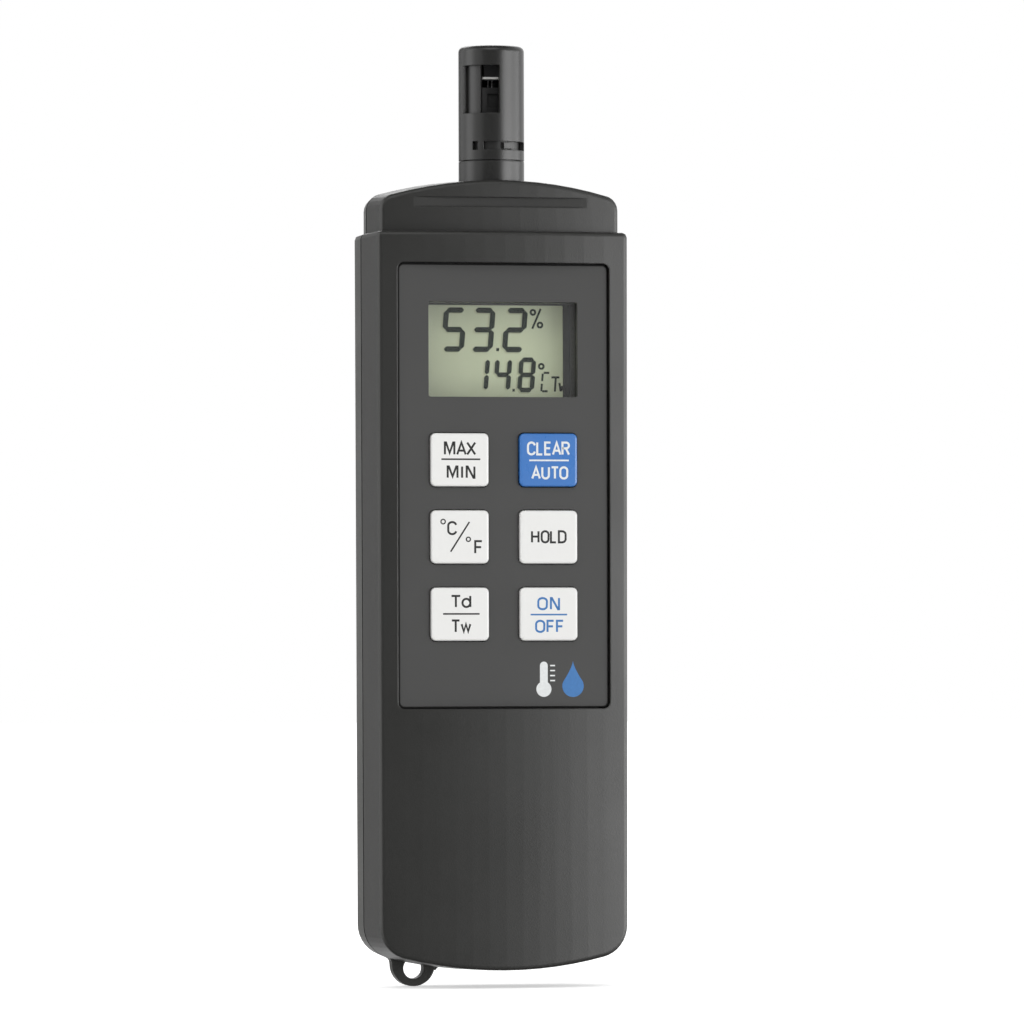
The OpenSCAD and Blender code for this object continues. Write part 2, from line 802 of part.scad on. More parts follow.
// Screws with cross recesses, the head's underside at y = 0
module screw(r, head_r, head_h, length) {
    arm = head_r * 0.62;
    half_w = 0.25;
    recess = 0.7;
    union() {
        bar_y(0, 0, r, -length, seat_gap);
        difference() {
            bar_y(0, 0, head_r, 0, head_h);
            block(-half_w, half_w, head_h - recess, head_h + cut, -arm, arm);
            block(-arm, arm, head_h - recess, head_h + cut, -half_w, half_w);
        }
    }
}

module case_screws() {
    color(steel) to_grip() at_case_screws()
        translate([0, head_y, 0]) screw(screw_r, screw_head_r, screw_head_h, screw_l);
}

module board_screws() {
    head_r = 1.9;
    head_h = 1.2;
    color(steel) to_grip() at_board_screws()
        translate([0, board_back_y, 0]) screw(board_screw_r, head_r, head_h, board_screw_l);
}

// Cells, springs and contacts
nub_h = 0.8;
nub_r = 1.9;
left_cell_z = bay_top - contact_t - cell_l;
right_cell_z = bay_bottom + contact_t;

// A cell standing on z0, with its nub at its upper or lower end
module cell(z0, up) {
    translate([0, cell_y, z0]) {
        translate([0, 0, up ? 0 : nub_h]) cylinder(r = cell_r, h = cell_l - nub_h);
        translate([0, 0, up ? cell_l - nub_h - seat_gap : 0]) cylinder(r = nub_r, h = nub_h + seat_gap);
    }
}

module battery_cells() {
    color([0.25, 0.3, 0.45]) to_grip() {
        translate([-cell_x, 0, 0]) cell(left_cell_z, true);
        translate([cell_x, 0, 0]) cell(right_cell_z, false);
    }
}

// A cone spring from z0 (wide end) to z1 (narrow end), as one wire swept along its own helix
spring_wire = 0.3;
spring_wide_r = 3.6;
spring_narrow_r = 2;
spring_turns = 3;
spring_steps = 40;

function spring_ring(i, z0, z1, wire, sides) =
    let (t = i / spring_steps, a = 360 * spring_turns * t)
    let (r = spring_wide_r + (spring_narrow_r - spring_wide_r) * t, z = z0 + (z1 - z0) * t)
    [for (k = [0 : sides - 1])
        let (b = 360 * k / sides, out = r + wire * cos(b))
        [out * cos(a), out * sin(a), z + wire * sin(b)]];

// Least gap between two turns of a spring, measured between points of its centre line
function spring_gap(z0, z1) =
    let (line = [for (i = [0 : spring_steps]) spring_ring(i, z0, z1, 0, 1)[0]])
    let (half_turn = floor(spring_steps / spring_turns / 2))
    min([for (i = [0 : spring_steps - half_turn], j = [i + half_turn : spring_steps]) norm(line[j] - line[i])])
    - 2 * spring_wire;

module cone_spring(z0, z1) {
    sides = 6;
    rings = [for (i = [0 : spring_steps]) spring_ring(i, z0, z1, spring_wire, sides)];
    sheet = [for (i = [0 : spring_steps - 1], k = [0 : sides - 1])
        let (a = i * sides + k, b = i * sides + (k + 1) % sides, c = b + sides, d = a + sides)
        each [[a, b, c], [a, c, d]]];
    ends = [[for (k = [sides - 1 : -1 : 0]) k], [for (k = [0 : sides - 1]) spring_steps * sides + k]];
    polyhedron(points = [for (ring = rings) each ring], faces = concat(sheet, ends));
    echo(least_gap_of_spring = spring_gap(z0, z1));
}

module battery_springs() {
    color(nickel) to_grip() {
        translate([-cell_x, cell_y, 0])
            cone_spring(bay_bottom + contact_t + spring_wire, left_cell_z - spring_wire);
        translate([cell_x, cell_y, 0]) mirror([0, 1, 0])
            cone_spring(bay_top - contact_t - spring_wire, right_cell_z + cell_l + spring_wire);
    }
}

contact_half_w = 4.2;
contact_half_y = 4;
tail_half_w = 1;

module battery_bridge() {
    half_w = cell_x + contact_half_w + 0.2;
    color(nickel) to_grip()
        block(-half_w, half_w, cell_y - contact_half_y, cell_y + contact_half_y,
            bay_bottom, bay_bottom + contact_t);
}

module contact_plate() {
    z = bay_top - contact_t;
    block(-contact_half_w, contact_half_w, cell_y - contact_half_y, cell_y + contact_half_y, z, bay_top);
    // tail through the bay's wall onto the board
    block(-tail_half_w, tail_half_w, board_back_y, cell_y, z, bay_top);
    block(-tail_half_w, tail_half_w, board_back_y, board_back_y + contact_t, z, board_bottom + 3);
}

module positive_contact() {
    color(nickel) to_grip() translate([-cell_x, 0, 0]) contact_plate();
}

module negative_contact() {
    color(nickel) to_grip() translate([cell_x, 0, 0]) contact_plate();
}

// Probe collar, with a flange held between the rib and the cap's top
collar_bottom = rib_z + rib_t + seat_gap;
collar_flange = 2;
collar_flange_t = 1.4;

module probe_collar() {
    color([0.14, 0.14, 0.14]) to_grip() difference() {
        union() {
            translate([0, 0, collar_bottom]) cylinder(r = sleeve_r, h = case_top + collar_h - collar_bottom);
            intersection() {
                translate([0, 0, collar_bottom]) cylinder(r = sleeve_r + collar_flange, h = collar_flange_t);
                block(-2 * sleeve_r, 2 * sleeve_r, 0.3, part_y + cut, collar_bottom - cut, case_top);
            }
        }
        translate([0, 0, body_h]) cylinder(r = tube_r + 0.03, h = probe_top - body_h);
    }
}

// Fixed inner tube: its window, the stop tab that stands in the sleeve's slot, and the O-ring's groove
stop_z = case_top + collar_h + 2.4;
stop_h = 1.3;
stop_from = 9.5;
stop_to = 32.2;
ring_z = stop_z + 4;
ring_wire = 0.33;

module probe_tube() {
    color([0.2, 0.2, 0.2]) to_grip() difference() {
        union() {
            translate([0, 0, tube_bottom]) difference() {
                cylinder(r = tube_r, h = tube_top - tube_bottom);
                translate([0, 0, -cut]) cylinder(r = tube_in_r, h = tube_top - tube_bottom);
            }
            intersection() {
                translate([0, 0, stop_z]) difference() {
                    cylinder(r = sleeve_r - 0.12, h = stop_h);
                    translate([0, 0, -cut]) cylinder(r = tube_r - 0.3, h = stop_h + 2 * cut);
                }
                sector(stop_z, stop_z + stop_h, stop_from, stop_to);
            }
        }
        sector(port_bottom, port_top, 1 - port_angle / 2, port_angle / 2 - 1);
        translate([0, 0, ring_z - 0.5]) difference() {
            cylinder(r = tube_r + cut, h = 1);
            translate([0, 0, -cut]) cylinder(r = tube_r - 2 * ring_wire + 0.03, h = 1 + 2 * cut);
        }
    }
}

// Sleeve: a closed tube with a rounded rim, its window, its stop slot and a small detent hole
sleeve_rim = 1.1;
slot_gap = 0.2;
slot_angles = [-27, 20, 71];
detent_angles = [-48, -37];

module square_from(x0, z0, x1, z1) {
    translate([x0, z0]) square([x1 - x0, z1 - z0]);
}

module sensor_sleeve() {
    color(shell_black) to_grip() difference() {
        rotate_extrude($fn = 96) {
            square_from(0, sleeve_bottom, sleeve_r, probe_top - sleeve_rim);
            square_from(0, sleeve_bottom, sleeve_r - sleeve_rim, probe_top);
            intersection() {
                translate([sleeve_r - sleeve_rim, probe_top - sleeve_rim]) circle(r = sleeve_rim);
                square_from(0, sleeve_bottom, sleeve_r + cut, probe_top + cut);
            }
        }
        translate([0, 0, sleeve_bottom - cut]) cylinder(r = bore_r, h = sleeve_l - 0.3);
        sector(port_bottom, port_top, port_turn - port_angle / 2, port_turn + port_angle / 2);
        for (span = [[slot_angles[0], slot_angles[1]], [slot_angles[1], slot_angles[2]], detent_angles])
            sector(stop_z - slot_gap, stop_z + stop_h + slot_gap, span[0], span[1]);
    }
}

module sleeve_o_ring() {
    color(deep_black) to_grip() translate([0, 0, ring_z])
        rotate_extrude() translate([bore_r - 0.02 - ring_wire, 0]) circle(r = ring_wire);
}

// Sensors: a holder on the end of the sensor board carries them in the tube's window
sensor_z = port_bottom + 7;
leg_l = 1.8;
holder_top = sensor_z - leg_l;
holder_h = 8.5;
board_reach = 2.5;
sensor_board_t = 0.8;
sensor_board_half_w = 3.6;

module sensor_board() {
    color(board_green) to_grip() block(-sensor_board_half_w, sensor_board_half_w, 0, sensor_board_t,
        body_h + 0.4, holder_top - holder_h + board_reach);
}

module sensor_holder() {
    flat_y = -3.4;
    flat_h = 5;
    recess_w = 3.2;
    recess_d = 0.6;
    color([0.13, 0.13, 0.13]) to_grip() translate([0, 0, holder_top]) difference() {
        translate([0, 0, -holder_h]) cylinder(r = tube_in_r - 0.05, h = holder_h);
        // slot that the sensor board stands in
        block(-sensor_board_half_w - seat_gap, sensor_board_half_w + seat_gap,
            -seat_gap, sensor_board_t + seat_gap, -holder_h - cut, board_reach - holder_h);
        // flat front with a square recess
        block(-sleeve_r, sleeve_r, -sleeve_r, flat_y, -flat_h, cut);
        block(-recess_w / 2, recess_w / 2, -sleeve_r, flat_y + recess_d, -4, -1.2);
    }
}

base_w = 4.6;
base_d = 4.4;
base_t = 0.45;
cap_w = 4;
cap_d = 3.8;
cap_t = 2.45;

module humidity_base() {
    color([0.93, 0.93, 0.9]) to_grip()
        block(-base_w / 2, base_w / 2, -base_d / 2, base_d / 2, sensor_z, sensor_z + base_t);
}

module humidity_cap() {
    color(deep_black) to_grip() translate([0, 0, sensor_z + base_t])
        block(-cap_w / 2, cap_w / 2, -cap_d / 2, cap_d / 2, 0, cap_t);
}

module humidity_legs() {
    leg_r = 0.16;
    color(nickel) to_grip() for (x = [-0.41, 0.41])
        translate([x, 1.2, holder_top]) cylinder(r = leg_r, h = leg_l);
}

module temperature_bead() {
    bead_r = 0.75;
    lead_l = 1.9;
    lead_r = 0.12;
    color([0.15, 0.1, 0.1]) to_grip() translate([3.2, 1.9, holder_top]) {
        translate([0, 0, lead_l]) sphere(r = bead_r);
        for (y = [-0.3, 0.3])
            translate([0, y, 0]) cylinder(r = lead_r, h = lead_l);
    }
}

// Flat ribbon from the sensor board to the main board
module probe_ribbon() {
    half_w = 3;
    thick = 0.3;
    fold_z = board_top - 4;
    top_overlap = 3.5;
    foot_l = 3;
    color([0.7, 0.7, 0.68]) to_grip() {
        block(-half_w, half_w, -thick, 0, fold_z, body_h + top_overlap);
        block(-half_w, half_w, -thick, board_y, fold_z, fold_z + thick);
        block(-half_w, half_w, board_y - thick, board_y, fold_z - foot_l, fold_z + thick);
    }
}

front_shell();
rear_shell();
battery_cover();
faceplate();
display_window();
lcd_frame();
lcd_glass();
lcd_reflector();
zebra_strips();
main_board();
keypad_mat();
contact_pills();
key_max_min();
key_clear_auto();
key_units();
key_hold();
key_dew_wet();
key_power();
controller_chip();
crystal_can();
small_components();
case_screws();
board_screws();
battery_cells();
battery_springs();
battery_bridge();
positive_contact();
negative_contact();
probe_collar();
probe_tube();
sensor_sleeve();
sleeve_o_ring();
sensor_board();
sensor_holder();
humidity_base();
humidity_cap();
humidity_legs();
temperature_bead();
probe_ribbon();
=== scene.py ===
# %% [markdown]
# # A hand-held thermo-hygrometer
#
# This lesson dresses a finished CAD model of a small measuring instrument: a black moulded case,
# a grey faceplate with a liquid crystal display and six keys, and a probe with a turning sleeve.
# The CAD model has every solid part at its true size. Here each part gets its finish, and the
# fine things that a CAD model leaves out are added: the digits on the display, the legends on
# the keys, the wound battery springs.
#
# The first cell loads the CAD model. Its parts are fixed, so nothing below moves them.

# %% Load the CAD model
import math

import bpy
import numpy as np
from mathutils import Matrix, Vector


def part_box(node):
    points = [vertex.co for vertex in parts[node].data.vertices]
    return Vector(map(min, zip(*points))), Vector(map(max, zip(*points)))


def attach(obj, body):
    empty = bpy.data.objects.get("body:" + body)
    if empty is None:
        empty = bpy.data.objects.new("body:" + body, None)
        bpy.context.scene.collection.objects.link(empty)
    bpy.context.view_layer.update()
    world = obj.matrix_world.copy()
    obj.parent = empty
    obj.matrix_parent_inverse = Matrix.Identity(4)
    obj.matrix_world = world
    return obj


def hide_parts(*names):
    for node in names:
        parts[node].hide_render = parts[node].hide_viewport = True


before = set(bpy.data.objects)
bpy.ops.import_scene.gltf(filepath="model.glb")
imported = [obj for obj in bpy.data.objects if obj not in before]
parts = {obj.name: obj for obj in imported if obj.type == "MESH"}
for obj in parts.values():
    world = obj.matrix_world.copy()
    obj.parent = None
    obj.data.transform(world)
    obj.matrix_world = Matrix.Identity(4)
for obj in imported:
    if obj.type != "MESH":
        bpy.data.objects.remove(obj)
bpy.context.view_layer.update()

MM = 0.001

# %% [markdown]
# ## The camera
#
# A product photographer stands well back with a long lens, so that near and far edges of a small
# object keep almost the same scale. Here the camera is 1.6 m away, a little to the left of
# straight on and just below the middle of the object. Its place is worked out from two
# angles and a distance, because those are what a photographer would note down.

# %% Place the camera
camera_turn = math.radians(-13.377)
camera_tilt = math.radians(-1.008)
camera_roll = math.radians(-0.144)
camera_distance = 1607.9 * MM
aim_height = 47 * MM
farthest_seen = 50
sensor_width = 36
# These four are in pixels of the picture.
picture_width = 1024
focal_length = 8000
object_left_of_middle = 19.78
object_below_middle = 0.38

looking = Vector((-math.sin(camera_turn) * math.cos(camera_tilt),
                  math.cos(camera_turn) * math.cos(camera_tilt),
                  -math.sin(camera_tilt)))
level = Vector((math.cos(camera_turn), math.sin(camera_turn), 0))
above = level.cross(looking)
right = level + math.sin(camera_roll) * above
up = above - math.sin(camera_roll) * level

# The aim is a touch to the right of the object, so that the object stands left of the middle.
aim = looking + (object_left_of_middle * right + object_below_middle * up) / focal_length
back = -aim.normalized()
right = up.cross(back).normalized()
up = back.cross(right)

photo_camera = bpy.data.objects.new("photo_camera", bpy.data.cameras.new("photo_camera"))
photo_camera.data.sensor_width = sensor_width
photo_camera.data.lens = focal_length * sensor_width / picture_width
photo_camera.data.clip_end = farthest_seen
photo_camera.matrix_world = Matrix((right, up, back)).transposed().to_4x4()
photo_camera.location = Vector((0, 0, aim_height)) - camera_distance * looking
bpy.context.scene.collection.objects.link(photo_camera)
bpy.context.scene.camera = photo_camera
print("camera at", [round(v, 3) for v in photo_camera.location], "m,",
      round(photo_camera.data.lens), "mm lens")

# %% [markdown]
# ## Nodes written as arithmetic
#
# Materials and Geometry Nodes are both graphs of nodes. Clicking them together by hand is slow to
# repeat, so one small class wraps an output socket, and plain Python operators on it add the
# Math nodes. Another class wraps a whole graph, and its one method adds any other node.

# %% A socket that takes part in sums
class Signal:
    """An output of a node. A sum or a comparison with it adds a Math node."""

    def __init__(self, graph, socket):
        self.graph = graph
        self.socket = socket

    def sum_of(self, operation, first, second):
        return self.graph.node("ShaderNodeMath", {"operation": operation}, {0: first, 1: second})

    def __add__(self, other):
        return self.sum_of("ADD", self, other)

    def __sub__(self, other):
        return self.sum_of("SUBTRACT", self, other)

    def __rsub__(self, other):
        return self.sum_of("SUBTRACT", other, self)

    def __mul__(self, other):
        return self.sum_of("MULTIPLY", self, other)

    def __truediv__(self, other):
        return self.sum_of("DIVIDE", self, other)

    def __rtruediv__(self, other):
        return self.sum_of("DIVIDE", other, self)

    def __gt__(self, other):
        return self.sum_of("GREATER_THAN", self, other)

    def __lt__(self, other):
        return self.sum_of("LESS_THAN", self, other)

    __radd__ = __add__
    __rmul__ = __mul__


# %% A graph that nodes are added to
class Graph:
    """A node tree that nodes are added to."""

    def __init__(self, tree):
        self.tree = tree

    def node(self, kind, settings=None, inputs=None, output=0):
        """Takes a node's type, its settings, and the values or links of its sockets."""
        made = self.tree.nodes.new(kind)
        for name, value in (settings or {}).items():
            if name == "stops":
                for stop, (place, colour) in zip(self.stops_of(made.color_ramp, len(value)), value):
                    stop.position = place
                    stop.color = (*colour, 1)
            else:
                setattr(made, name, value)
        for name, value in (inputs or {}).items():
            self.feed(made.inputs[name], value)
        return Signal(self, made.outputs[output])

    def stops_of(self, ramp, count):
        while len(ramp.elements) < count:
            ramp.elements.new(1)
        return ramp.elements

    def feed(self, socket, value):
        if isinstance(value, Signal):
            self.tree.links.new(value.socket, socket)
        else:
            socket.default_value = value

    def smaller(self, first, second):
        return self.node("ShaderNodeMath", {"operation": "MINIMUM"}, {0: first, 1: second})

    def size_of(self, value):
        return self.node("ShaderNodeMath", {"operation": "ABSOLUTE"}, {0: value})

    def axes(self, vector):
        split = self.node("ShaderNodeSeparateXYZ", None, {0: vector})
        return [Signal(self, socket) for socket in split.socket.node.outputs]

    def vector(self, x, y, z):
        return self.node("ShaderNodeCombineXYZ", None, {0: x, 1: y, 2: z})

    def looking_rays(self):
        """1 for a ray of the camera, of gloss or of glass, and 0 for a ray that gathers light."""
        camera, glossy, clear = (self.node("ShaderNodeLightPath", output="Is " + kind + " Ray")
                                 for kind in ("Camera", "Glossy", "Transmission"))
        return self.smaller(1.0, camera + glossy + clear)


# %% [markdown]
# ## One class for every finish
#
# Each finish starts from Blender's Principled shader. What is the same all over a part, such as
# how clear glass is, is set straight on the shader. What changes over a part, such as the grain
# left by the mould, comes from patterns on Object coordinates, which stay put on the part when
# it moves and need no unwrapping.

# %% A finish
dressed = set()


class Finish(Graph):
    """A material, with short names for the patterns that the finishes below share."""

    def __init__(self, name, **plain):
        self.material = bpy.data.materials.new(name)
        self.material.use_nodes = True
        super().__init__(self.material.node_tree)
        self.shader = self.tree.nodes["Principled BSDF"]
        self.place = self.node("ShaderNodeTexCoord", output="Object")
        self.set(**plain)

    def set(self, **values):
        """Sets sockets of the shader, with _ for a space in their names."""
        for name, value in values.items():
            self.feed(self.shader.inputs[name.replace("_", " ")], value)

    def stretched(self, x, y, z):
        """Coordinates for a pattern that is drawn out along the axis with the smallest number."""
        return self.node("ShaderNodeMapping", None, {"Vector": self.place, "Scale": (x, y, z)})

    def cloud(self, size, detail=2, where=None):
        """Soft noise from 0 to 1. Its patches are about as wide as size, in millimetres."""
        return self.node("ShaderNodeTexNoise", None,
                         {"Vector": where or self.place, "Scale": 1 / (size * MM), "Detail": detail})

    def blend(self, mask, first, second):
        """The first colour where the mask is 0, the second where it is 1."""
        return self.node("ShaderNodeMix", {"data_type": "RGBA"},
                         {0: mask, 6: self.colour(first), 7: self.colour(second)}, output=2)

    def colour(self, value):
        return value if isinstance(value, Signal) else (*value, 1)

    def tinted(self, mask, colour, spread):
        """The colour, darker and lighter by spread where the mask is 0 and 1."""
        return self.blend(mask, [c * (1 - spread) for c in colour], [c * (1 + spread) for c in colour])

    def ramp(self, mask, *stops):
        """Colours along the mask, each as its place and the colour."""
        return self.node("ShaderNodeValToRGB", {"stops": stops}, {0: mask})

    def relief(self, height, depth, edge=0):
        """A bump as deep as depth, in millimetres, on edges rounded by edge millimetres."""
        inputs = {"Height": height, "Distance": depth * MM, "Strength": 1}
        if edge:
            inputs["Normal"] = self.node("ShaderNodeBevel", {"samples": 4}, {"Radius": edge * MM})
        self.set(Normal=self.node("ShaderNodeBump", None, inputs))

    def surface(self):
        """What the Principled shader gives."""
        return Signal(self, self.shader.outputs["BSDF"])

    def give_way(self, mask, other):
        """Shows another shader instead of this one where the mask is 1."""
        mixed = self.node("ShaderNodeMixShader", None, {0: mask, 1: self.surface(), 2: other})
        self.feed(self.tree.nodes["Material Output"].inputs["Surface"], mixed)

    def dress(self, *names):
        """Gives this finish to parts of the CAD model."""
        dressed.update(names)
        for name in names:
            for slot in parts[name].material_slots:
                slot.material = self.material
        print(self.material.name, "on", ", ".join(names))


# %% [markdown]
# ## Moulded plastic
#
# The case is injection moulded ABS. The mould is etched or spark-eroded, and leaves a fine even
# grain that scatters reflections. Slow changes of gloss over the surface come from the flow of
# the plastic and from handling. A flat colour would look like paint, so each moulding gets both:
# fine noise for the grain, and wide noise that moves colour and roughness a little.

# %% Mouldings
def moulding(name, colour, roughness, grain, depth, edge=0.25, spread=0.08, shine=0.5):
    """Moulded plastic. The grain's width and depth and the rounding of edges are in millimetres."""
    finish = Finish(name, Specular_IOR_Level=shine)
    flow = finish.cloud(size=22, detail=3)
    texture = finish.cloud(grain, detail=1)
    finish.set(Base_Color=finish.tinted(flow * 0.7 + texture * 0.3, colour, spread))
    finish.set(Roughness=roughness + (flow - 0.5) * 0.16 + (texture - 0.5) * 0.1)
    finish.relief(texture, depth, edge)
    return finish


case_front = moulding("case_black", (0.0165, 0.0165, 0.0148), roughness=0.4,
                      grain=0.3, depth=0.012, edge=0.35)
case_front.dress("front_shell")
case_back = moulding("case_black_back", (0.019, 0.0195, 0.0155), roughness=0.38,
                     grain=0.45, depth=0.03, shine=0.45)
case_back.dress("rear_shell", "battery_cover")
probe_plastic = moulding("probe_black", (0.013, 0.013, 0.0122), roughness=0.31, grain=0.2, depth=0.006)
probe_plastic.dress("sensor_sleeve", "probe_collar")
tube_plastic = moulding("tube_black", (0.016, 0.016, 0.0155), roughness=0.36, grain=0.2, depth=0.006)
tube_plastic.dress("probe_tube")
holder_plastic = moulding("holder_black", (0.014, 0.014, 0.014), roughness=0.55,
                          grain=0.25, depth=0.01, edge=0.1, shine=0.3)
holder_plastic.dress("sensor_holder")
frame_plastic = moulding("frame_black", (0.012, 0.012, 0.013), roughness=0.6,
                         grain=0.2, depth=0.006, edge=0.1, shine=0.3)
frame_plastic.dress("lcd_frame")

# %% [markdown]
# The two shells meet in a narrow groove. Little light comes out of it, so it is seen as a dark line.
# A Mix Shader paints that shade: it turns the plastic black in the groove and close to it.
# Its factor is a pattern: 1 where the y coordinate is within reach of the groove, 0 elsewhere.

# %% The painted shade line between the shells
rear_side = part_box("rear_shell")[1].x
side_band = 0.2 * MM
groove_width = 0.3 * MM
shade_line_reach = 0.28 * MM
groove_shade_black = (0.003, 0.003, 0.003, 1)
rear_lip = min(v.co.y for v in parts["rear_shell"].data.vertices if v.co.x > rear_side - side_band)
for finish in (case_front, case_back):
    _, y, _ = finish.axes(finish.place)
    # Painted shade: the plastic is drawn black in a band round the groove, wider than the groove itself.
    in_painted_shade = finish.size_of(y - (rear_lip - groove_width / 2)) < shade_line_reach
    finish.give_way(in_painted_shade, finish.node("ShaderNodeBsdfDiffuse", None, {"Color": groove_shade_black}))
print("the shells meet at y =", round(rear_lip / MM, 2), "mm")

# %% [markdown]
# ## The faceplate
#
# The faceplate is a separate sheet set into the front of the case, in a lighter grey than the
# case. Its bevelled edge catches the light, and its grain is finer than the case's.

# %% Faceplate
plate_finish = moulding("faceplate_grey", (0.0425, 0.0425, 0.0412), roughness=0.45,
                        grain=0.16, depth=0.004, edge=0.08, spread=0.05)
plate_finish.dress("faceplate")

# %% [markdown]
# ## Keys
#
# The key caps are smooth and slightly glossy, so that their rounded edges show a bright line.
# White plastic is never perfectly even: it gathers faint warm marks where fingers press it.

# %% Keys
def key_plastic(name, colour, touched, roughness):
    """Smooth plastic, in one colour where it is clean and another where fingers touch it."""
    finish = Finish(name, Coat_Weight=0.15, Coat_Roughness=0.12)
    marks = finish.cloud(size=4, detail=4)
    finish.set(Base_Color=finish.blend(marks * 0.5, colour, touched))
    finish.set(Roughness=roughness + (marks - 0.5) * 0.15)
    finish.relief(finish.cloud(size=0.5), depth=0.003, edge=0.3)
    return finish


white_key = key_plastic("key_white", (0.85, 0.85, 0.835), (0.8, 0.795, 0.77), roughness=0.34)
white_key.dress("key_max_min", "key_units", "key_hold", "key_dew_wet", "key_power")
blue_key = key_plastic("key_blue", (0.048, 0.196, 0.56), (0.044, 0.175, 0.5), roughness=0.3)
blue_key.dress("key_clear_auto")

# %% [markdown]
# ## Glass, display and foil
#
# The window is clear acrylic. A lamp can't shine through Blender's glass on its own account, so
# the shader becomes plainly transparent for the rays that go to the lamps, and what lies behind
# it is lit. The display glass has a matt film on its front, and the grey-green of the liquid
# crystal comes from the film and the reflector behind it. Its colour is painted darker at the left
# side of the glass than at the right, as painted shade; the faint clouds and specks in it are the film's
# own.

# %% Window
window_finish = Finish("clear_window", Base_Color=(0.97, 0.985, 0.97, 1), Transmission_Weight=1,
                       IOR=1.49, Specular_IOR_Level=0.12)
haze = window_finish.cloud(size=6, detail=4)
window_finish.set(Roughness=haze * 0.03)
lamp_rays = window_finish.node("ShaderNodeLightPath", output="Is Shadow Ray")
let_through = window_finish.node("ShaderNodeBsdfTransparent", None, {"Color": (0.94, 0.96, 0.94, 1)})
window_finish.give_way(lamp_rays, let_through)
window_finish.dress("display_window")

# %% Display glass and reflector
display_olive = (0.345, 0.37, 0.245)
display_finish = Finish("lcd_green", Coat_Weight=0.3, Coat_Roughness=0.2)
film = display_finish.cloud(size=9, detail=2)
speck = display_finish.cloud(size=0.25, detail=1)
glass_low, glass_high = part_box("lcd_glass")
glass_x, _, _ = display_finish.axes(display_finish.place)
# Painted shade: the colour gets darker towards the left side of the glass.
painted_shade_across = (glass_x - glass_low.x) / (glass_high.x - glass_low.x)
film_and_painted_shade = painted_shade_across * 0.74 + film * 0.16 + speck * 0.1
display_finish.set(Base_Color=display_finish.tinted(film_and_painted_shade, display_olive, spread=0.3))
display_finish.set(Roughness=0.42 + (speck - 0.5) * 0.1)
display_finish.relief(speck, depth=0.002)
display_finish.dress("lcd_glass")

foil = Finish("foil", Metallic=1)
brushed = foil.cloud(size=0.3, detail=3, where=foil.stretched(0.1, 1, 1))
foil.set(Base_Color=foil.tinted(brushed, (0.72, 0.72, 0.68), spread=0.1), Roughness=0.3 + brushed * 0.2)
foil.relief(brushed, depth=0.005)
foil.dress("lcd_reflector")

# %% [markdown]
# ## Metals
#
# Plated steel is bright but never a perfect mirror: drawing, rolling and handling leave fine
# lines and cloudy patches. Stretching the noise along one direction makes the lines.

# %% Metals
def plated(name, colour, roughness, lines=(1, 1, 0.05)):
    """Plated metal, with fine lines along the axis that has the small number."""
    finish = Finish(name, Metallic=1)
    drawn = finish.cloud(size=0.25, detail=3, where=finish.stretched(*lines))
    dull = finish.cloud(size=2.5, detail=4)
    finish.set(Base_Color=finish.tinted(dull, colour, spread=0.12))
    finish.set(Roughness=roughness + (drawn - 0.5) * 0.12 + (dull - 0.5) * 0.2)
    finish.relief(drawn, depth=0.003, edge=0.08)
    return finish


screw_steel = plated("screw_steel", (0.5, 0.5, 0.49), roughness=0.34, lines=(1, 1, 1))
screw_steel.dress("case_screws", "board_screws")
contact_nickel = plated("contact_metal", (0.66, 0.65, 0.6), roughness=0.28)
contact_nickel.dress("battery_springs", "battery_bridge", "positive_contact", "negative_contact")
plated("bright_metal", (0.62, 0.62, 0.61), roughness=0.24).dress("crystal_can")
plated("leg_metal", (0.7, 0.7, 0.69), roughness=0.3).dress("humidity_legs")

# %% [markdown]
# ## The cells
#
# A cell is a steel can in a printed jacket. Each one here has a plain dark jacket with a
# copper-coloured band at its positive end and bare steel at both ends, which is how such cells
# are told apart at a glance. One node holds both cells, and they lie in opposite directions, so
# the band's place is worked out from the side of the centre line that a point is on.

# %% Cells
cell_points = np.array([v.co for v in parts["battery_cells"].data.vertices])
left_cell = cell_points[cell_points[:, 0] < 0]
right_cell = cell_points[cell_points[:, 0] > 0]
left_plus, left_minus = left_cell[:, 2].max(), left_cell[:, 2].min()
right_plus = right_cell[:, 2].min()
nub_height = 1 * MM
bare_rim = 1.2 * MM
band_width = 11 * MM

jacket = Finish("cell_jacket")
x, _, z = jacket.axes(jacket.place)
on_left = x < 0
from_plus = on_left * (left_plus - z) + (1 - on_left) * (z - right_plus)
can_length = left_plus - left_minus
bare = (from_plus < nub_height + bare_rim) + (from_plus > can_length - bare_rim)
band = from_plus < band_width
scuff = jacket.cloud(size=1.2, detail=5)
printed = jacket.blend(band, (0.035, 0.045, 0.07), (0.42, 0.2, 0.09))
scuffed = jacket.blend(scuff * 0.25, printed, (0.3, 0.3, 0.3))
jacket.set(Base_Color=jacket.blend(bare, scuffed, (0.6, 0.6, 0.58)))
jacket.set(Metallic=jacket.smaller(1.0, bare + band * 0.7), Roughness=0.28 + scuff * 0.2)
jacket.relief(scuff, depth=0.004, edge=0.3)
jacket.dress("battery_cells")
print("cells are", round(can_length / MM, 1), "mm long")

# %% [markdown]
# ## The circuit boards
#
# A circuit board is glass fibre with copper tracks under green solder mask. The tracks stand up
# slightly and show as lighter lines. A brick pattern on the board's own plane gives straight
# runs at right angles, as tracks have.

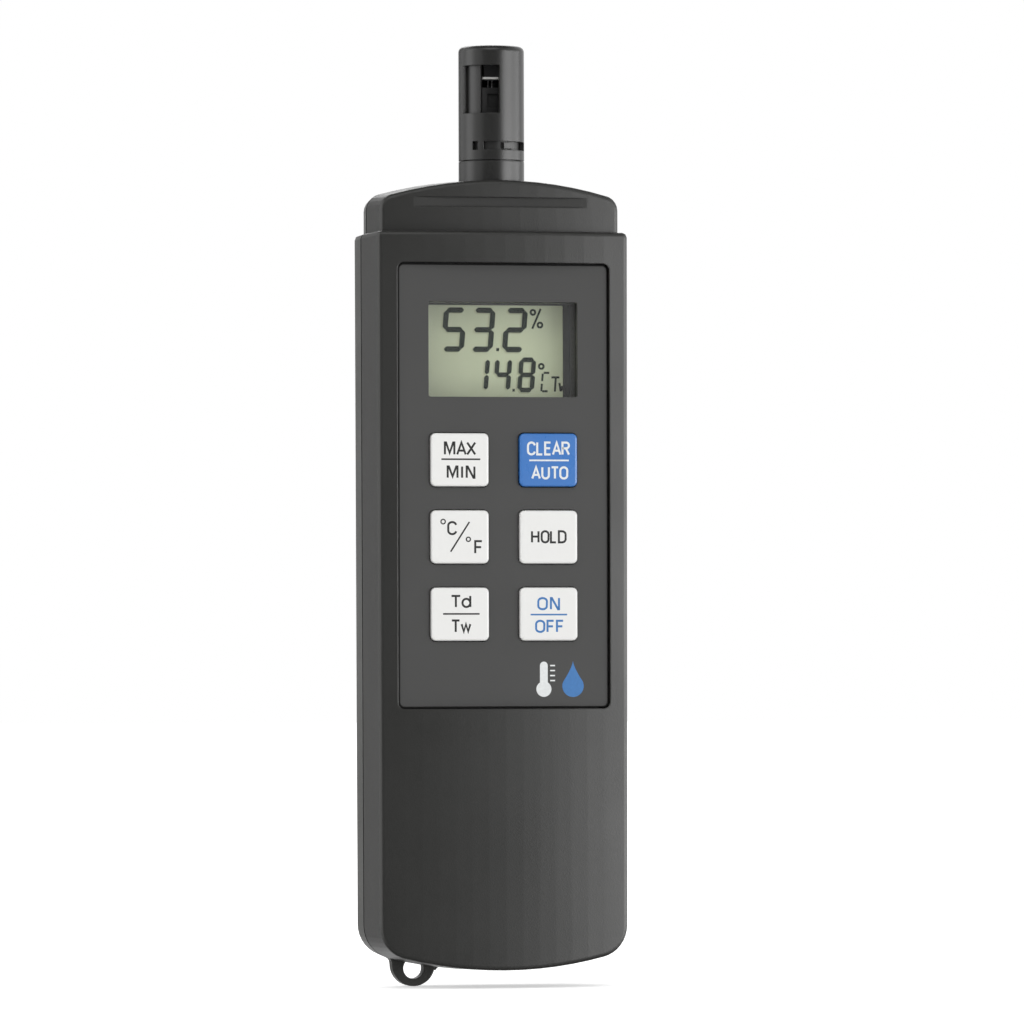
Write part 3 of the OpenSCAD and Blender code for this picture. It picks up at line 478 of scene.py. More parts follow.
# %% Boards
board_mask = Finish("circuit_board", Coat_Weight=0.4, Coat_Roughness=0.15)
x, y, z = board_mask.axes(board_mask.place)
track_spacing = 9 * MM
tracks = board_mask.node("ShaderNodeTexBrick", {"offset": 0.37}, {
    "Vector": board_mask.vector(x, z, y), "Scale": 1 / track_spacing, "Mortar Size": 0.035,
    "Mortar Smooth": 0.2, "Brick Width": 1.3, "Row Height": 0.31}, output="Fac")
weave = board_mask.cloud(size=0.5, detail=2)
mask_green = board_mask.tinted(weave, (0.012, 0.09, 0.035), spread=0.2)
board_mask.set(Base_Color=board_mask.blend(tracks, mask_green, (0.03, 0.17, 0.06)))
board_mask.set(Roughness=0.35 + weave * 0.15)
board_mask.relief(tracks + weave * 0.2, depth=0.035)
board_mask.dress("main_board", "sensor_board")

# %% Parts on the boards
chip_finish = moulding("chip_black", (0.022, 0.022, 0.022), roughness=0.6,
                       grain=0.12, depth=0.006, edge=0.1)
chip_finish.dress("controller_chip")
small_finish = Finish("components")
kinds = small_finish.cloud(size=7, detail=0)
small_finish.set(Base_Color=small_finish.ramp(
    kinds, (0.35, (0.42, 0.3, 0.17)), (0.45, (0.6, 0.58, 0.52)),
    (0.55, (0.03, 0.03, 0.03)), (0.65, (0.5, 0.33, 0.12))))
small_finish.set(Roughness=0.4 + small_finish.cloud(size=0.6) * 0.2)
small_finish.relief(small_finish.cloud(size=0.4), depth=0.008, edge=0.1)
small_finish.dress("small_components")

# %% [markdown]
# ## Rubber, silicone, ceramic and ribbon
#
# These parts are inside or nearly so. Each still has its own surface: rubber picks up pale dust,
# silicone is milky and even, ceramic is hard and fine-grained, and the ribbon cable shows its
# wires as ridges.

# %% Soft and ceramic parts
def soft_part(name, colour, dust, roughness, grain):
    """A dull finish with pale dust on it, and a grain as wide as grain millimetres."""
    finish = Finish(name)
    settled = finish.cloud(size=3, detail=5)
    finish.set(Base_Color=finish.blend(settled * 0.3, colour, dust))
    finish.set(Roughness=roughness + (settled - 0.5) * 0.2)
    finish.relief(finish.cloud(grain), depth=0.01, edge=0.1)
    return finish


for part, name, colour, dust, roughness, grain in (
        ("keypad_mat", "silicone", (0.3, 0.3, 0.28), (0.4, 0.4, 0.38), 0.62, 0.3),
        ("contact_pills", "carbon", (0.015, 0.015, 0.015), (0.05, 0.05, 0.05), 0.7, 0.15),
        ("sleeve_o_ring", "ring_black", (0.015, 0.015, 0.015), (0.06, 0.06, 0.06), 0.55, 0.2),
        ("humidity_base", "ceramic_white", (0.93, 0.93, 0.9), (0.85, 0.84, 0.8), 0.4, 0.12),
        ("humidity_cap", "sensor_cap", (0.02, 0.02, 0.022), (0.05, 0.05, 0.05), 0.72, 0.25),
        ("temperature_bead", "bead_epoxy", (0.035, 0.025, 0.022), (0.06, 0.05, 0.045), 0.22, 0.8)):
    soft_part(name, colour, dust, roughness, grain).dress(part)

# %% Connector strips and ribbon
layer_pair = 0.5 * MM
stripes = Finish("elastomer")
x, _, _ = stripes.axes(stripes.place)
layers = stripes.node("ShaderNodeMath", {"operation": "FRACT"}, {0: x / layer_pair})
stripes.set(Base_Color=stripes.blend(layers > 0.5, (0.5, 0.33, 0.33), (0.06, 0.05, 0.05)))
stripes.set(Roughness=0.6 + layers * 0.1)
stripes.relief(stripes.cloud(size=0.4), depth=0.01)
stripes.dress("zebra_strips")

half_wire = 0.5 * MM
wires = Finish("ribbon")
x, _, _ = wires.axes(wires.place)
ridge = wires.node("ShaderNodeMath", {"operation": "PINGPONG"}, {0: x, 1: half_wire}) / half_wire
wires.set(Base_Color=wires.tinted(ridge, (0.5, 0.5, 0.47), spread=0.15), Roughness=0.4 + ridge * 0.1)
wires.relief(ridge, depth=0.08)
wires.dress("probe_ribbon")

print("parts still without a finish:", sorted(set(parts) - dressed))

# %% [markdown]
# ## Things that repeat: Geometry Nodes
#
# A Geometry Nodes tree makes copies and sweeps by rule, with its sizes as named inputs. Here a
# small class builds the tree, sets its inputs and turns the result into a plain mesh.

# %% A recipe
class Recipe(Graph):
    """A Geometry Nodes tree with named inputs for its sizes."""

    def __init__(self, name, **sizes):
        super().__init__(bpy.data.node_groups.new(name, "GeometryNodeTree"))
        self.name = name
        sockets = self.tree.interface
        sockets.new_socket("Geometry", in_out="INPUT", socket_type="NodeSocketGeometry")
        sockets.new_socket("Geometry", in_out="OUTPUT", socket_type="NodeSocketGeometry")
        self.sizes = sizes
        self.keys = {}
        for size in sizes:
            socket = sockets.new_socket(size, in_out="INPUT", socket_type="NodeSocketFloat")
            self.keys[size] = socket.identifier
        self.start = self.tree.nodes.new("NodeGroupInput")
        self.end = self.tree.nodes.new("NodeGroupOutput")
        self.geometry = Signal(self, self.start.outputs["Geometry"])

    def size(self, name):
        """One of the named inputs."""
        return Signal(self, self.start.outputs[name])

    def carried(self, name):
        """A number that each point of the starting mesh carries."""
        return self.node("GeometryNodeInputNamedAttribute", {"data_type": "FLOAT"}, {"Name": name})

    def make(self, piece_name, geometry, start_mesh, finish, **sizes):
        """Grows the geometry from a starting mesh, and makes it a plain mesh of its own."""
        real = self.node("GeometryNodeRealizeInstances", None, {0: geometry})
        finished = self.node("GeometryNodeSetMaterial", None, {
            "Geometry": real, "Material": finish.material})
        self.feed(self.end.inputs["Geometry"], finished)
        draft = bpy.data.objects.new("draft", start_mesh)
        bpy.context.scene.collection.objects.link(draft)
        steps = draft.modifiers.new(self.name, "NODES")
        steps.node_group = self.tree
        for name, value in {**self.sizes, **sizes}.items():
            steps[self.keys[name]] = value
        seen = draft.evaluated_get(bpy.context.evaluated_depsgraph_get())
        mesh = bpy.data.meshes.new_from_object(seen)
        draft.modifiers.remove(steps)
        bpy.data.objects.remove(draft)
        return stand_up(piece_name, mesh, finish)


def stand_up(name, mesh, finish):
    """A piece at the origin, with its place in its mesh and one finish."""
    mesh.materials.clear()
    mesh.materials.append(finish.material)
    piece = bpy.data.objects.new(name, mesh)
    bpy.context.scene.collection.objects.link(piece)
    return piece


# %% [markdown]
# ## The digits on the display
#
# A liquid crystal digit has seven bars, named a to g round the figure and across its middle.
# A figure is just a choice of bars. Each bar becomes one point that carries its length,
# its stroke and its turn, and the tree puts a pointed bar on each point, then slants the figure.
# The bars could be drawn one by one, but then a change of stroke would touch all of them.

# %% Where the bars go
bars_of = {"0": "abcdef", "1": "bc", "2": "abged", "3": "abgcd", "4": "fgbc", "5": "afgcd",
           "6": "afgedc", "7": "abc", "8": "abcdefg", "9": "abcdfg"}
bar_gap = 0.16 * MM


def bars(figure, middle_x, middle_z, width, height, stroke):
    """Place, length, turn, stroke and figure centre of each bar that a figure shows, in metres."""
    across = (width - stroke) / 2
    tall = (height - stroke) / 2
    half = tall / 2
    places = {"a": (0, tall, 0), "g": (0, 0, 0), "d": (0, -tall, 0), "b": (across, half, 1),
              "c": (across, -half, 1), "f": (-across, half, 1), "e": (-across, -half, 1)}
    shown = []
    for bar in bars_of[figure]:
        x, z, stands = places[bar]
        length = (tall if stands else 2 * across) - bar_gap
        shown.append((middle_x + x, middle_z + z, length, stands * math.pi / 2, stroke, middle_z))
    return shown


glass_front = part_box("lcd_glass")[0].y
large = {"width": 4.75 * MM, "height": 8.9 * MM, "stroke": 1.08 * MM, "middle_z": 83.58 * MM}
small = {"width": 3.5 * MM, "height": 7 * MM, "stroke": 0.93 * MM, "middle_z": 74.58 * MM}
shown_bars = []
for figure, x in (("5", -8.55), ("3", -2.63), ("2", 4.03)):
    shown_bars += bars(figure, x * MM, **large)
for figure, x in (("1", -3.1), ("4", 1.48), ("8", 6.43)):
    shown_bars += bars(figure, x * MM, **small)
print(len(shown_bars), "bars show")

# %% The starting points, one for each bar
def points_mesh(name, rows, depth):
    """A mesh with a loose point for each bar, which carries the bar's numbers."""
    mesh = bpy.data.meshes.new(name)
    mesh.from_pydata([(row[0], depth, row[1]) for row in rows], [], [])
    for column, attribute in enumerate(("length", "turn", "stroke", "middle"), start=2):
        carried = mesh.attributes.new(attribute, "FLOAT", "POINT")
        carried.data.foreach_set("value", [row[column] for row in rows])
    return mesh


# %% The tree that draws the bars
segments = Recipe("segment_bars", Slant=0.08, Thickness=0.02 * MM, Swell=1.0)
steps_along = 9
blunt_end = 0.12
plain_bar = segments.node("GeometryNodeMeshCube", None, {
    "Size": (1, 1, 1), "Vertices X": steps_along, "Vertices Y": 2, "Vertices Z": 2})
x, y, z = segments.axes(segments.node("GeometryNodeInputPosition"))
taper = segments.smaller(1.0, (0.5 - segments.size_of(x)) * (steps_along - 1) + blunt_end)
pointed_bar = segments.node("GeometryNodeSetPosition", None, {
    "Geometry": plain_bar, "Position": segments.vector(x, y, z * taper)})
copies = segments.node("GeometryNodeInstanceOnPoints", None, {
    "Points": segments.geometry, "Instance": pointed_bar,
    "Rotation": segments.vector(0.0, segments.carried("turn"), 0.0),
    "Scale": segments.vector(segments.carried("length"), segments.size("Thickness"),
                             segments.carried("stroke") * segments.size("Swell"))})
real_bars = segments.node("GeometryNodeRealizeInstances", None, {0: copies})
x, y, z = segments.axes(segments.node("GeometryNodeInputPosition"))
slanted = segments.node("GeometryNodeSetPosition", None, {
    "Geometry": real_bars,
    "Position": segments.vector(x + (z - segments.carried("middle")) * segments.size("Slant"), y, z)})
print(len(segments.tree.nodes), "nodes draw the bars")

# %% Draw the digits, and their shadow on the reflector
ink = Finish("display_ink", Specular_IOR_Level=0.05)
ink_cloud = ink.cloud(size=0.8, detail=2)
ink.set(Base_Color=ink.tinted(ink_cloud, (0.003, 0.008, 0.004), spread=0.2))
ink.set(Roughness=0.5 + (ink_cloud - 0.5) * 0.1)
shade = Finish("display_shade", Specular_IOR_Level=0.2)
shade_cloud = shade.cloud(size=1.5, detail=2)
shade_olive = [c * 0.8 for c in display_olive]
shade.set(Base_Color=shade.tinted(shade_cloud, shade_olive, spread=0.05), Roughness=0.5)

digit_depth = glass_front - 0.04 * MM
shade_depth = glass_front - 0.011 * MM
shade_shift = Vector((-0.28, -0.22)) * MM
digits = segments.make("display_digits", slanted,
                       points_mesh("digit_points", shown_bars, digit_depth), ink)
shade_bars = [(x + shade_shift.x, z + shade_shift.y, *rest) for x, z, *rest in shown_bars]
digit_shade = segments.make("display_digit_shade", slanted,
                            points_mesh("shade_points", shade_bars, shade_depth), shade, Swell=1.1)
for piece in (digits, digit_shade):
    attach(piece, "case")
    print(piece.name, len(piece.data.polygons), "faces")

# %% [markdown]
# ## Lettering
#
# The keys are printed with what they do, in narrow plain capitals. A Text object would draw them,
# but its letters are wider and thinner than the ones on such keys. Here every letter is made of one
# to three strokes of a pen, as an engraver cuts it, so width, height and stroke are free. Each path
# runs in a square from 0 to 1, and is fitted to the letter's own width and to the word's place.

# %% A pen stroke as thin print
print_thickness = 0.02 * MM
layer_step = 0.002 * MM
sharpest_corner = 0.4


def pen(path, stroke, closed=False, layer=0):
    """A flat ribbon along a path in millimetres, as points (across, up, out) and faces."""
    path = [Vector(p) for p in path]
    count = len(path)
    edges = []
    for i, point in enumerate(path):
        ways = []
        if closed or i > 0:
            ways.append((point - path[i - 1]).normalized())
        if closed or i < count - 1:
            ways.append((path[(i + 1) % count] - point).normalized())
        way = sum(ways, Vector((0, 0))).normalized()
        side = Vector((-way.y, way.x))
        # Where the path bends, the edge stands further off, so that the stroke keeps its width.
        reach = stroke / 2 / max(sharpest_corner, abs(way.dot(ways[0])))
        edges.append((point + side * reach, point - side * reach))
    top = print_thickness + layer * layer_step
    # Each point of the path has four corners: left and right below, then left and right on top.
    points = [(p.x * MM, p.y * MM, out) for edge in edges for out in (0, top) for p in edge]
    faces = []
    for i in range(count if closed else count - 1):
        a, b = 4 * i, 4 * ((i + 1) % count)
        faces += [(a, b, b + 1, a + 1), (a + 3, b + 3, b + 2, a + 2),
                  (a + 2, b + 2, b, a), (a + 1, b + 1, b + 3, a + 3)]
    if not closed:
        end = 4 * (count - 1)
        faces += [(0, 1, 3, 2), (end, end + 2, end + 3, end + 1)]
    return np.array(points), faces


# %% Letters as pen paths
def bow(x, y, wide, tall, start, end, steps=10):
    """Points on an oval arc between two angles in degrees."""
    angles = [math.radians(start + (end - start) * i / steps) for i in range(steps + 1)]
    return [(x + wide * math.cos(angle), y + tall * math.sin(angle)) for angle in angles]


upper, lower = bow(0.5, 0.7, 0.5, 0.3, 0, 180), bow(0.5, 0.3, 0.5, 0.3, 180, 360)
# Each letter's width for a height of 1, and its paths.
letters = {
    "A": (0.85, [(0, 0), (0.5, 1), (1, 0)], [(0.17, 0.32), (0.83, 0.32)]),
    "C": (0.8, bow(0.5, 0.7, 0.5, 0.3, 12, 180) + bow(0.5, 0.3, 0.5, 0.3, 180, 348)),
    "D": (0.78, [(0, 0.5), (0, 0), (0.45, 0)] + bow(0.45, 0.3, 0.55, 0.3, 290, 360, 6)
          + bow(0.45, 0.7, 0.55, 0.3, 0, 70, 6) + [(0.45, 1), (0, 1), (0, 0.5)]),
    "E": (0.62, [(1, 1), (0, 1), (0, 0), (1, 0)], [(0, 0.52), (0.92, 0.52)]),
    "F": (0.6, [(1, 1), (0, 1), (0, 0)], [(0, 0.5), (0.88, 0.5)]),
    "H": (0.75, [(0, 0), (0, 1)], [(1, 0), (1, 1)], [(0, 0.52), (1, 0.52)]),
    "I": (0.02, [(0.5, 0), (0.5, 1)]),
    "L": (0.58, [(0, 1), (0, 0), (1, 0)]),
    "M": (0.95, [(0, 0), (0, 1), (0.12, 1), (0.5, 0.12), (0.88, 1), (1, 1), (1, 0)]),
    "N": (0.75, [(0, 0), (0, 1), (0.12, 1), (0.88, 0), (1, 0), (1, 1)]),
    "O": (0.8, upper + lower[:-1]),
    "R": (0.75, [(0, 0), (0, 1), (0.55, 1)] + bow(0.6, 0.76, 0.4, 0.24, 70, -70, 8)
          + [(0.55, 0.52), (0, 0.52)], [(0.55, 0.5), (1, 0)]),
    "T": (0.75, [(0, 1), (1, 1)], [(0.5, 1), (0.5, 0)]),
    "U": (0.75, [(0, 1)] + lower + [(1, 1)]),
    "X": (0.8, [(0, 0), (1, 1)], [(0, 1), (1, 0)]),
    "d": (0.68, [(1, 0), (1, 1)], bow(0.5, 0.37, 0.5, 0.37, 0, 340, 16)),
    "w": (0.85, [(0, 0.68), (0.25, 0.03), (0.5, 0.68), (0.75, 0.03), (1, 0.68)]),
}
print(len(letters), "letters")

# %% Words
letter_gap = 0.44
open_sided = {"A": 0.15, "X": 0.13, "T": 0.13, "L": 0.1, "C": 0.07, "O": 0.07, "F": 0.06, "R": 0.04,
              "w": 0.1, "d": 0.12}


def gap_between(first, second):
    """The space between two letters, less beside a slanted, round or open side."""
    return letter_gap - open_sided.get(first, 0) - open_sided.get(second, 0)


def word(text, left, right, bottom, top, stroke=0.42):
    """A word fitted to a box in millimetres, as a list of pen strokes."""
    half = stroke / 2
    left, right, bottom, top = left + half, right - half, bottom + half, top - half
    starts = [0]
    for before, letter in zip(text, text[1:]):
        starts.append(starts[-1] + letters[before][0] + gap_between(before, letter))
    unit = (right - left) / (starts[-1] + letters[text[-1]][0])
    strokes = []
    for letter, start in zip(text, starts):
        width, *paths = letters[letter]
        for layer, path in enumerate(paths):
            fitted = [(left + (start + u * width) * unit, bottom + v * (top - bottom)) for u, v in path]
            strokes.append(pen(fitted, stroke, closed=letter == "O", layer=layer))
    return strokes


# %% Lines, rings and plates
def rule(x0, z0, x1, z1, stroke):
    """A straight line from one point to another, in millimetres."""
    return pen([(x0, z0), (x1, z1)], stroke)


def ring(x, z, radius, stroke):
    """A ring, such as a degree sign, by its centre and its middle radius in millimetres."""
    return pen(bow(x, z, radius, radius, 0, 360, 24)[:-1], stroke, closed=True)


def slab(corners):
    """A flat plate of any outline, given anticlockwise in millimetres."""
    count = len(corners)
    points = np.array([(x * MM, z * MM, out) for out in (0, print_thickness) for x, z in corners])
    faces = [tuple(range(count - 1, -1, -1)), tuple(range(count, 2 * count))]
    faces += [(i, (i + 1) % count, count + (i + 1) % count, count + i) for i in range(count)]
    return points, faces


# %% Print on a face
def printed_piece(name, shapes, centre_x, centre_z, face_y, finish, body):
    """Joins flat shapes and sets them on a face that looks towards -Y."""
    points, faces, count = [], [], 0
    for shape_points, shape_faces in shapes:
        points += [(x + centre_x, face_y - out, z + centre_z) for x, z, out in shape_points]
        faces += [tuple(v + count for v in face) for face in shape_faces]
        count += len(shape_points)
    mesh = bpy.data.meshes.new(name)
    mesh.from_pydata(points, [], faces)
    mesh.validate()
    piece = stand_up(name, mesh, finish)
    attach(piece, body)
    print(name, len(mesh.polygons), "faces")
    return piece


# %% Inks
def print_ink(name, colour):
    """Ink that is a little paler and duller where it has worn."""
    finish = Finish(name, Specular_IOR_Level=0.4)
    wear = finish.cloud(size=0.6, detail=3)
    finish.set(Base_Color=finish.tinted(wear, colour, spread=0.12))
    finish.set(Roughness=0.42 + (wear - 0.5) * 0.15)
    return finish


black_ink = print_ink("ink_black", (0.018, 0.018, 0.018))
white_ink = print_ink("ink_white", (0.78, 0.8, 0.8))
blue_ink = print_ink("ink_blue", (0.045, 0.19, 0.48))
print("inks:", [made.material.name for made in (black_ink, white_ink, blue_ink)])

# %% Legends on the keys
# A word's numbers are its left, right, bottom and top, in millimetres from the middle of the key.
line = 0.32
degree_line = 0.26
legends = {
    "max_min": (word("MAX", -3.34, 3.28, 0.85, 3.64) + [rule(-3.85, 0.1, 4.1, 0.1, line)]
                + word("MIN", -2.78, 3.11, -3.8, -1.15), black_ink, "frame_black"),
    "clear_auto": (word("CLEAR", -4.5, 4.35, 0.9, 3.7) + [rule(-4.02, -0.08, 4.1, -0.08, line)]
                   + word("AUTO", -3.62, 4.0, -3.9, -1.25), white_ink, "key_white"),
    "units": ([ring(-3.53, 3.05, 0.45, degree_line), rule(-2.0, -2.95, 1.85, 3.0, line),
               ring(1.63, -0.47, 0.42, degree_line)]
              + word("C", -2.7, -0.65, 0.34, 3.17) + word("F", 2.82, 4.61, -3.44, -0.63),
              black_ink, "frame_black"),
    "hold": (word("HOLD", -3.72, 3.62, -1.28, 1.36), black_ink, "frame_black"),
    "dew_wet": (word("Td", -2.06, 2.2, 1.21, 3.84) + [rule(-3.58, 0.05, 3.89, 0.05, line)]
                + word("Tw", -2.0, 2.19, -3.75, -1.05), black_ink, "frame_black"),
    "power": (word("ON", -2.46, 2.22, 0.75, 3.4) + [rule(-3.84, -0.11, 3.67, -0.11, line)]
              + word("OFF", -2.92, 3.05, -3.78, -1.14), blue_ink, "key_blue"),
}
# Print starts a hundredth of a millimetre under its face, so that no gap shows.
print_root = 0.01 * MM
for key, (shapes, finish, slot) in legends.items():
    low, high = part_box("key_" + key)
    printed_piece("legend_" + key, shapes, (low.x + high.x) / 2, (low.z + high.z) / 2,
                  low.y + print_root, finish, "key_" + key + "_body")

# %% [markdown]
# ## Signs on the display
#
# Beside the figures stand a per cent sign, a degree sign, a C built from bars, and a small sign
# for the kind of temperature. They are thinner than the digits, so they are drawn as lines.

# %% Display signs
def decimal_point(x, z, width):
    """A block, a little taller than wide, that leans as the digits do. x, z is its lower left corner."""
    height = width + 0.05
    lean = width * 0.1
    return slab([(x, z), (x + width, z), (x + width + lean, z + height), (x + lean, z + height)])


# Places are in millimetres from the model's origin.
thin = 0.42
signs = [
    ring(7.75, 87.15, 0.48, thin), ring(9.2, 84.6, 0.48, thin), rule(7.6, 83.85, 9.35, 87.85, thin),
    ring(9.45, 76.3, 0.48, thin),
    rule(9.62, 73.35, 9.75, 74.85, thin), rule(9.95, 75.0, 11.1, 75.0, thin),
    rule(9.45, 71.3, 9.56, 72.8, thin), rule(9.65, 71.3, 10.75, 71.3, thin),
    rule(11.55, 74.1, 13.2, 74.1, thin), rule(12.25, 71.25, 12.45, 74.1, thin),
    rule(13.2, 73.0, 13.45, 71.3, thin), rule(13.45, 71.3, 13.8, 72.4, thin),
    rule(13.8, 72.4, 14.05, 71.3, thin),
    decimal_point(0.12, 79.3, 0.6), decimal_point(3.45, 71.2, 0.5),
]
sign_depth = glass_front - 0.03 * MM
printed_piece("display_signs", signs, 0, 0, sign_depth, ink, "case")

# %% [markdown]
# ## A pictogram on the faceplate
#
# The lower right of the faceplate has a small printed sign. A thermometer and a drop say what
# the instrument measures, in the same white and blue as the keys.

# %% Thermometer and drop
def drop_outline(x, z, radius, height):
    """A drop with a round foot and a pointed head, anticlockwise."""
    # The foot is a circle up to the shoulder, in degrees over its middle. The neck starts there.
    shoulder = 25
    foot = bow(x, z, radius, radius, 180 - shoulder, 360 + shoulder, 28)
    neck_x, neck_z = foot[-1]
    neck_height = height - radius * 1.42
    hollow = 1.4
    steps = 8
    neck = []
    for i in range(1, steps):
        t = i / steps
        neck.append((x + (neck_x - x) * (1 - t) ** hollow, neck_z + neck_height * t))
    head = [(x, z + height - radius)]
    other_side = [(2 * x - p, q) for p, q in reversed(neck)]
    return foot + neck + head + other_side


bulb_x, bulb_z, bulb_radius = 8.2, 11.5, 1.55
stem_radius, stem_top = 0.8, 16.2
mark_from, mark_to, mark_line = bulb_x + 1.3, bulb_x + 2.3, 0.28
stem_angle = math.degrees(math.acos(stem_radius / bulb_radius))
thermometer = slab(bow(bulb_x, bulb_z, bulb_radius, bulb_radius, 180 - stem_angle, 360 + stem_angle, 30)
                   + bow(bulb_x, stem_top, stem_radius, stem_radius, 0, 180))
scale_marks = [rule(mark_from, z, mark_to, z, mark_line) for z in (13.2, 14.2, 15.2, 16.2)]
drop = slab(drop_outline(14.2, 12.1, radius=2.2, height=7.2))
face_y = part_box("faceplate")[0].y + print_root
printed_piece("pictogram_thermometer", [thermometer] + scale_marks, 0, 0, face_y, white_ink,
              "case")
printed_piece("pictogram_drop", [drop], 0, 0, face_y, blue_ink, "case")

# %% [markdown]
# ## The battery springs
#
# Each cell is pushed against its contact by a conical spring, wound from one plated wire. A wound
# spring follows a rule exactly, so the tree draws a spiral and sweeps a round wire along it.
# The ends stay where the CAD model has them: wide end on the contact plate, narrow end on the cell.

# %% The tree that winds a spring
wire = 0.3 * MM
coil = Recipe("cone_spring", Turns=3.0, Wide=3.6 * MM, Narrow=2 * MM, Wire=wire,
              Height=0.0, Across=0.0, Depth=0.0, Foot=0.0, Turned=0.0)
spiral = coil.node("GeometryNodeCurveSpiral", None, {
    "Resolution": 32, "Rotations": coil.size("Turns"), "Start Radius": coil.size("Wide"),
    "End Radius": coil.size("Narrow"), "Height": coil.size("Height")})
wire_section = coil.node("GeometryNodeCurvePrimitiveCircle", None, {
    "Resolution": 10, "Radius": coil.size("Wire")})
wound = coil.node("GeometryNodeCurveToMesh", None, {
    "Curve": spiral, "Profile Curve": wire_section, "Fill Caps": True})
placed_coil = coil.node("GeometryNodeTransform", None, {
    "Geometry": wound, "Rotation": coil.vector(coil.size("Turned"), 0.0, 0.0),
    "Translation": coil.vector(coil.size("Across"), coil.size("Depth"), coil.size("Foot"))})
print(len(coil.tree.nodes), "nodes wind a spring")

# %% Wind both springs
cell_offset = 5.6 * MM
spring_points = np.array([v.co for v in parts["battery_springs"].data.vertices])
empty_start = bpy.data.meshes.new("empty_start")
for side, name in ((-1, "spring_left"), (1, "spring_right")):
    own = spring_points[spring_points[:, 0] * side > 0]
    low, high = own.min(0), own.max(0)
    height = high[2] - low[2] - 2 * wire
    foot = low[2] + wire if side < 0 else high[2] - wire
    depth = (low[1] + high[1]) / 2
    piece = coil.make(name, placed_coil, empty_start, contact_nickel, Height=height,
                      Across=side * cell_offset, Depth=depth, Foot=foot, Turned=math.pi * (side > 0))
    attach(piece, "case")
    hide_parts("battery_springs")
    made = np.array([v.co for v in piece.data.vertices])
    print(name, "is", ((made.max(0) - made.min(0)) / MM).round(2), "mm, in the CAD model",
          ((high - low) / MM).round(2), "mm")

# %% [markdown]
# ## The studio
#
# The instrument stands on a white table in a white room. Two large soft lamps on the right make
# the bright side of the case, and one on the left draws the edge there. One above the camera lights
# the keys, and one above and behind lights the top. The room's own light is plain and even. What a
# lens or a shiny part sees of the room is white, which is set with Light Path, so the lamps needn't
# be strong. Reflections leave out the table itself, and it throws no shadow: the room that shows in
# its place is just as white, and the lamps reach the foot of the case.

# %% Floor
def sheet_mesh(name, width, tall):
    """One flat face round the origin, which looks towards +Z."""
    across, along = width / 2, tall / 2
    mesh = bpy.data.meshes.new(name)
    mesh.from_pydata([(-across, -along, 0), (across, -along, 0), (across, along, 0), (-across, along, 0)],
                     [], [(0, 1, 2, 3)])
    return mesh


white = (1, 1, 1, 1)
floor_width = 12
floor_height = min(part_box("rear_shell")[0].z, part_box("front_shell")[0].z)
floor_mesh = sheet_mesh("floor", floor_width, floor_width)
floor_mesh.transform(Matrix.Translation((0, 0, floor_height)))
room_white = Finish("room_white", Base_Color=(0.9, 0.9, 0.9, 1), Roughness=0.9, Specular_IOR_Level=0)
glow = room_white.node("ShaderNodeEmission", None, {"Color": white, "Strength": 0.5})
lit_and_glowing = room_white.node("ShaderNodeAddShader", None, {0: room_white.surface(), 1: glow})
room_white.give_way(room_white.looking_rays(), lit_and_glowing)
floor = stand_up("floor", floor_mesh, room_white)
floor.visible_glossy = False
floor.visible_shadow = False
print("floor at", round(floor_height / MM, 1), "mm")

# %% Room
room = bpy.data.worlds.new("room")
room.use_nodes = True
bpy.context.scene.world = room
air = Graph(room.node_tree)
room_light = air.node("ShaderNodeBackground", None, {"Color": white, "Strength": 0.82})
room_seen = air.node("ShaderNodeBackground", None, {"Color": white, "Strength": 1.0})
air_surface = air.node("ShaderNodeMixShader", None, {0: air.looking_rays(), 1: room_light, 2: room_seen})
air.feed(room.node_tree.nodes["World Output"].inputs["Surface"], air_surface)
print(len(air.tree.nodes), "nodes light the room")

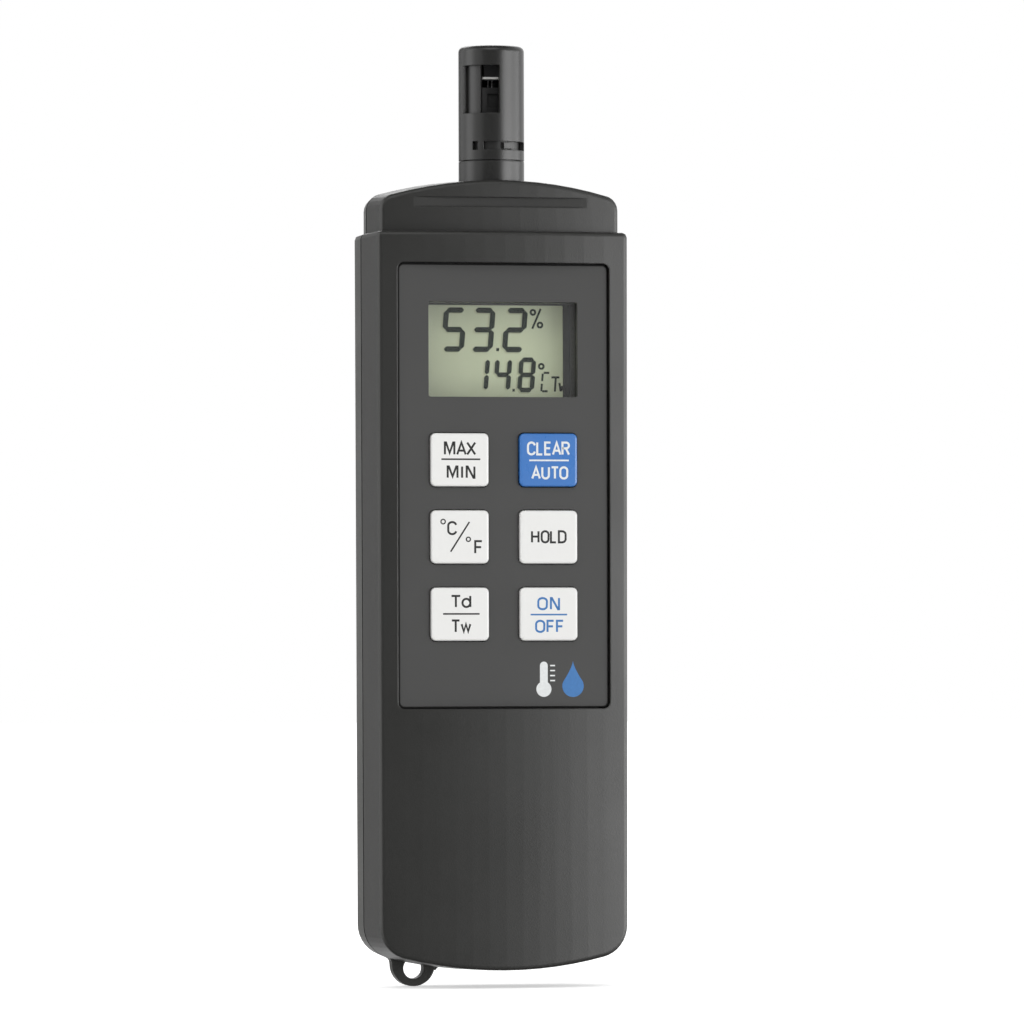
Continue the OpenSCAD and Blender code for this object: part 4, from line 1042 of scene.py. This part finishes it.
# %% [markdown]
# Lamps alone leave a black case grey all over, because the white room shines back from every side
# of it. A photographer stands dark cards out of the picture, called flags. One behind the camera
# keeps the front of the case dark where it doesn't face a lamp. One behind the object, at its left,
# darkens the side that is seen at a shallow angle. One above and one below keep light lines off the
# upper and lower edges. Blender can hide an object from one kind of ray: the cards are seen by
# reflections alone, so they take no light away, and the two lamps on the right only make shine.

# %% Soft lamps
def facing_object(bearing, height, distance):
    """A place, and the turn to face the object. The bearing is in degrees from in front, to the right."""
    angle = math.radians(bearing)
    place = Vector((distance * math.sin(angle), -distance * math.cos(angle), height))
    turn = (Vector((0, 0, aim_height)) - place).to_track_quat("-Z", "Y")
    return Matrix.LocRotScale(place, turn, None)


# Bearing in degrees; height, distance, width and tallness in metres; power in watts; shine only.
for name, bearing, height, distance, width, tall, power, shine_only in (
        ("lamp_right", 45, -0.02, 1.3, 0.85, 0.5, 10.5, True),
        ("lamp_side", 82, 0, 1.3, 0.87, 0.5, 5.8, True),
        ("lamp_left", -95, 0.3, 1.3, 0.7, 1.2, 4, False),
        ("lamp_front", -15, 1.2, 1.3, 1.2, 0.8, 6, False),
        ("lamp_behind", 175, 1.0, 1.3, 1.0, 0.6, 5, False)):
    lamp = bpy.data.lights.new(name, "AREA")
    lamp.shape = "RECTANGLE"
    lamp.size = width
    lamp.size_y = tall
    lamp.energy = power
    holder = bpy.data.objects.new(name, lamp)
    holder.matrix_world = facing_object(bearing, height, distance)
    holder.visible_diffuse = not shine_only
    bpy.context.scene.collection.objects.link(holder)
    print(name, power, "W")

# %% Flags
card_grey = Finish("card_grey", Base_Color=(0.25, 0.25, 0.25, 1), Roughness=0.9, Specular_IOR_Level=0)
for name, bearing, height, distance, width, tall in (
        ("flag_front", -10, 0.3, 1.75, 2.5, 2.4),
        ("flag_behind", -160, 0.1, 0.8, 0.32, 1.0),
        ("flag_above", 0, 1.5, 0, 2.2, 2.2),
        ("flag_below", 0, -0.5, 0, 1.5, 1.5)):
    card = sheet_mesh(name, width, tall)
    card.transform(facing_object(bearing, height, distance))
    piece = stand_up(name, card, card_grey)
    piece.visible_camera = False
    piece.visible_diffuse = False
    piece.visible_transmission = False
    piece.visible_shadow = False
    print(name, width, "by", tall, "m")

# The standard view shows a colour as it is written.
bpy.context.scene.view_settings.view_transform = "Standard"
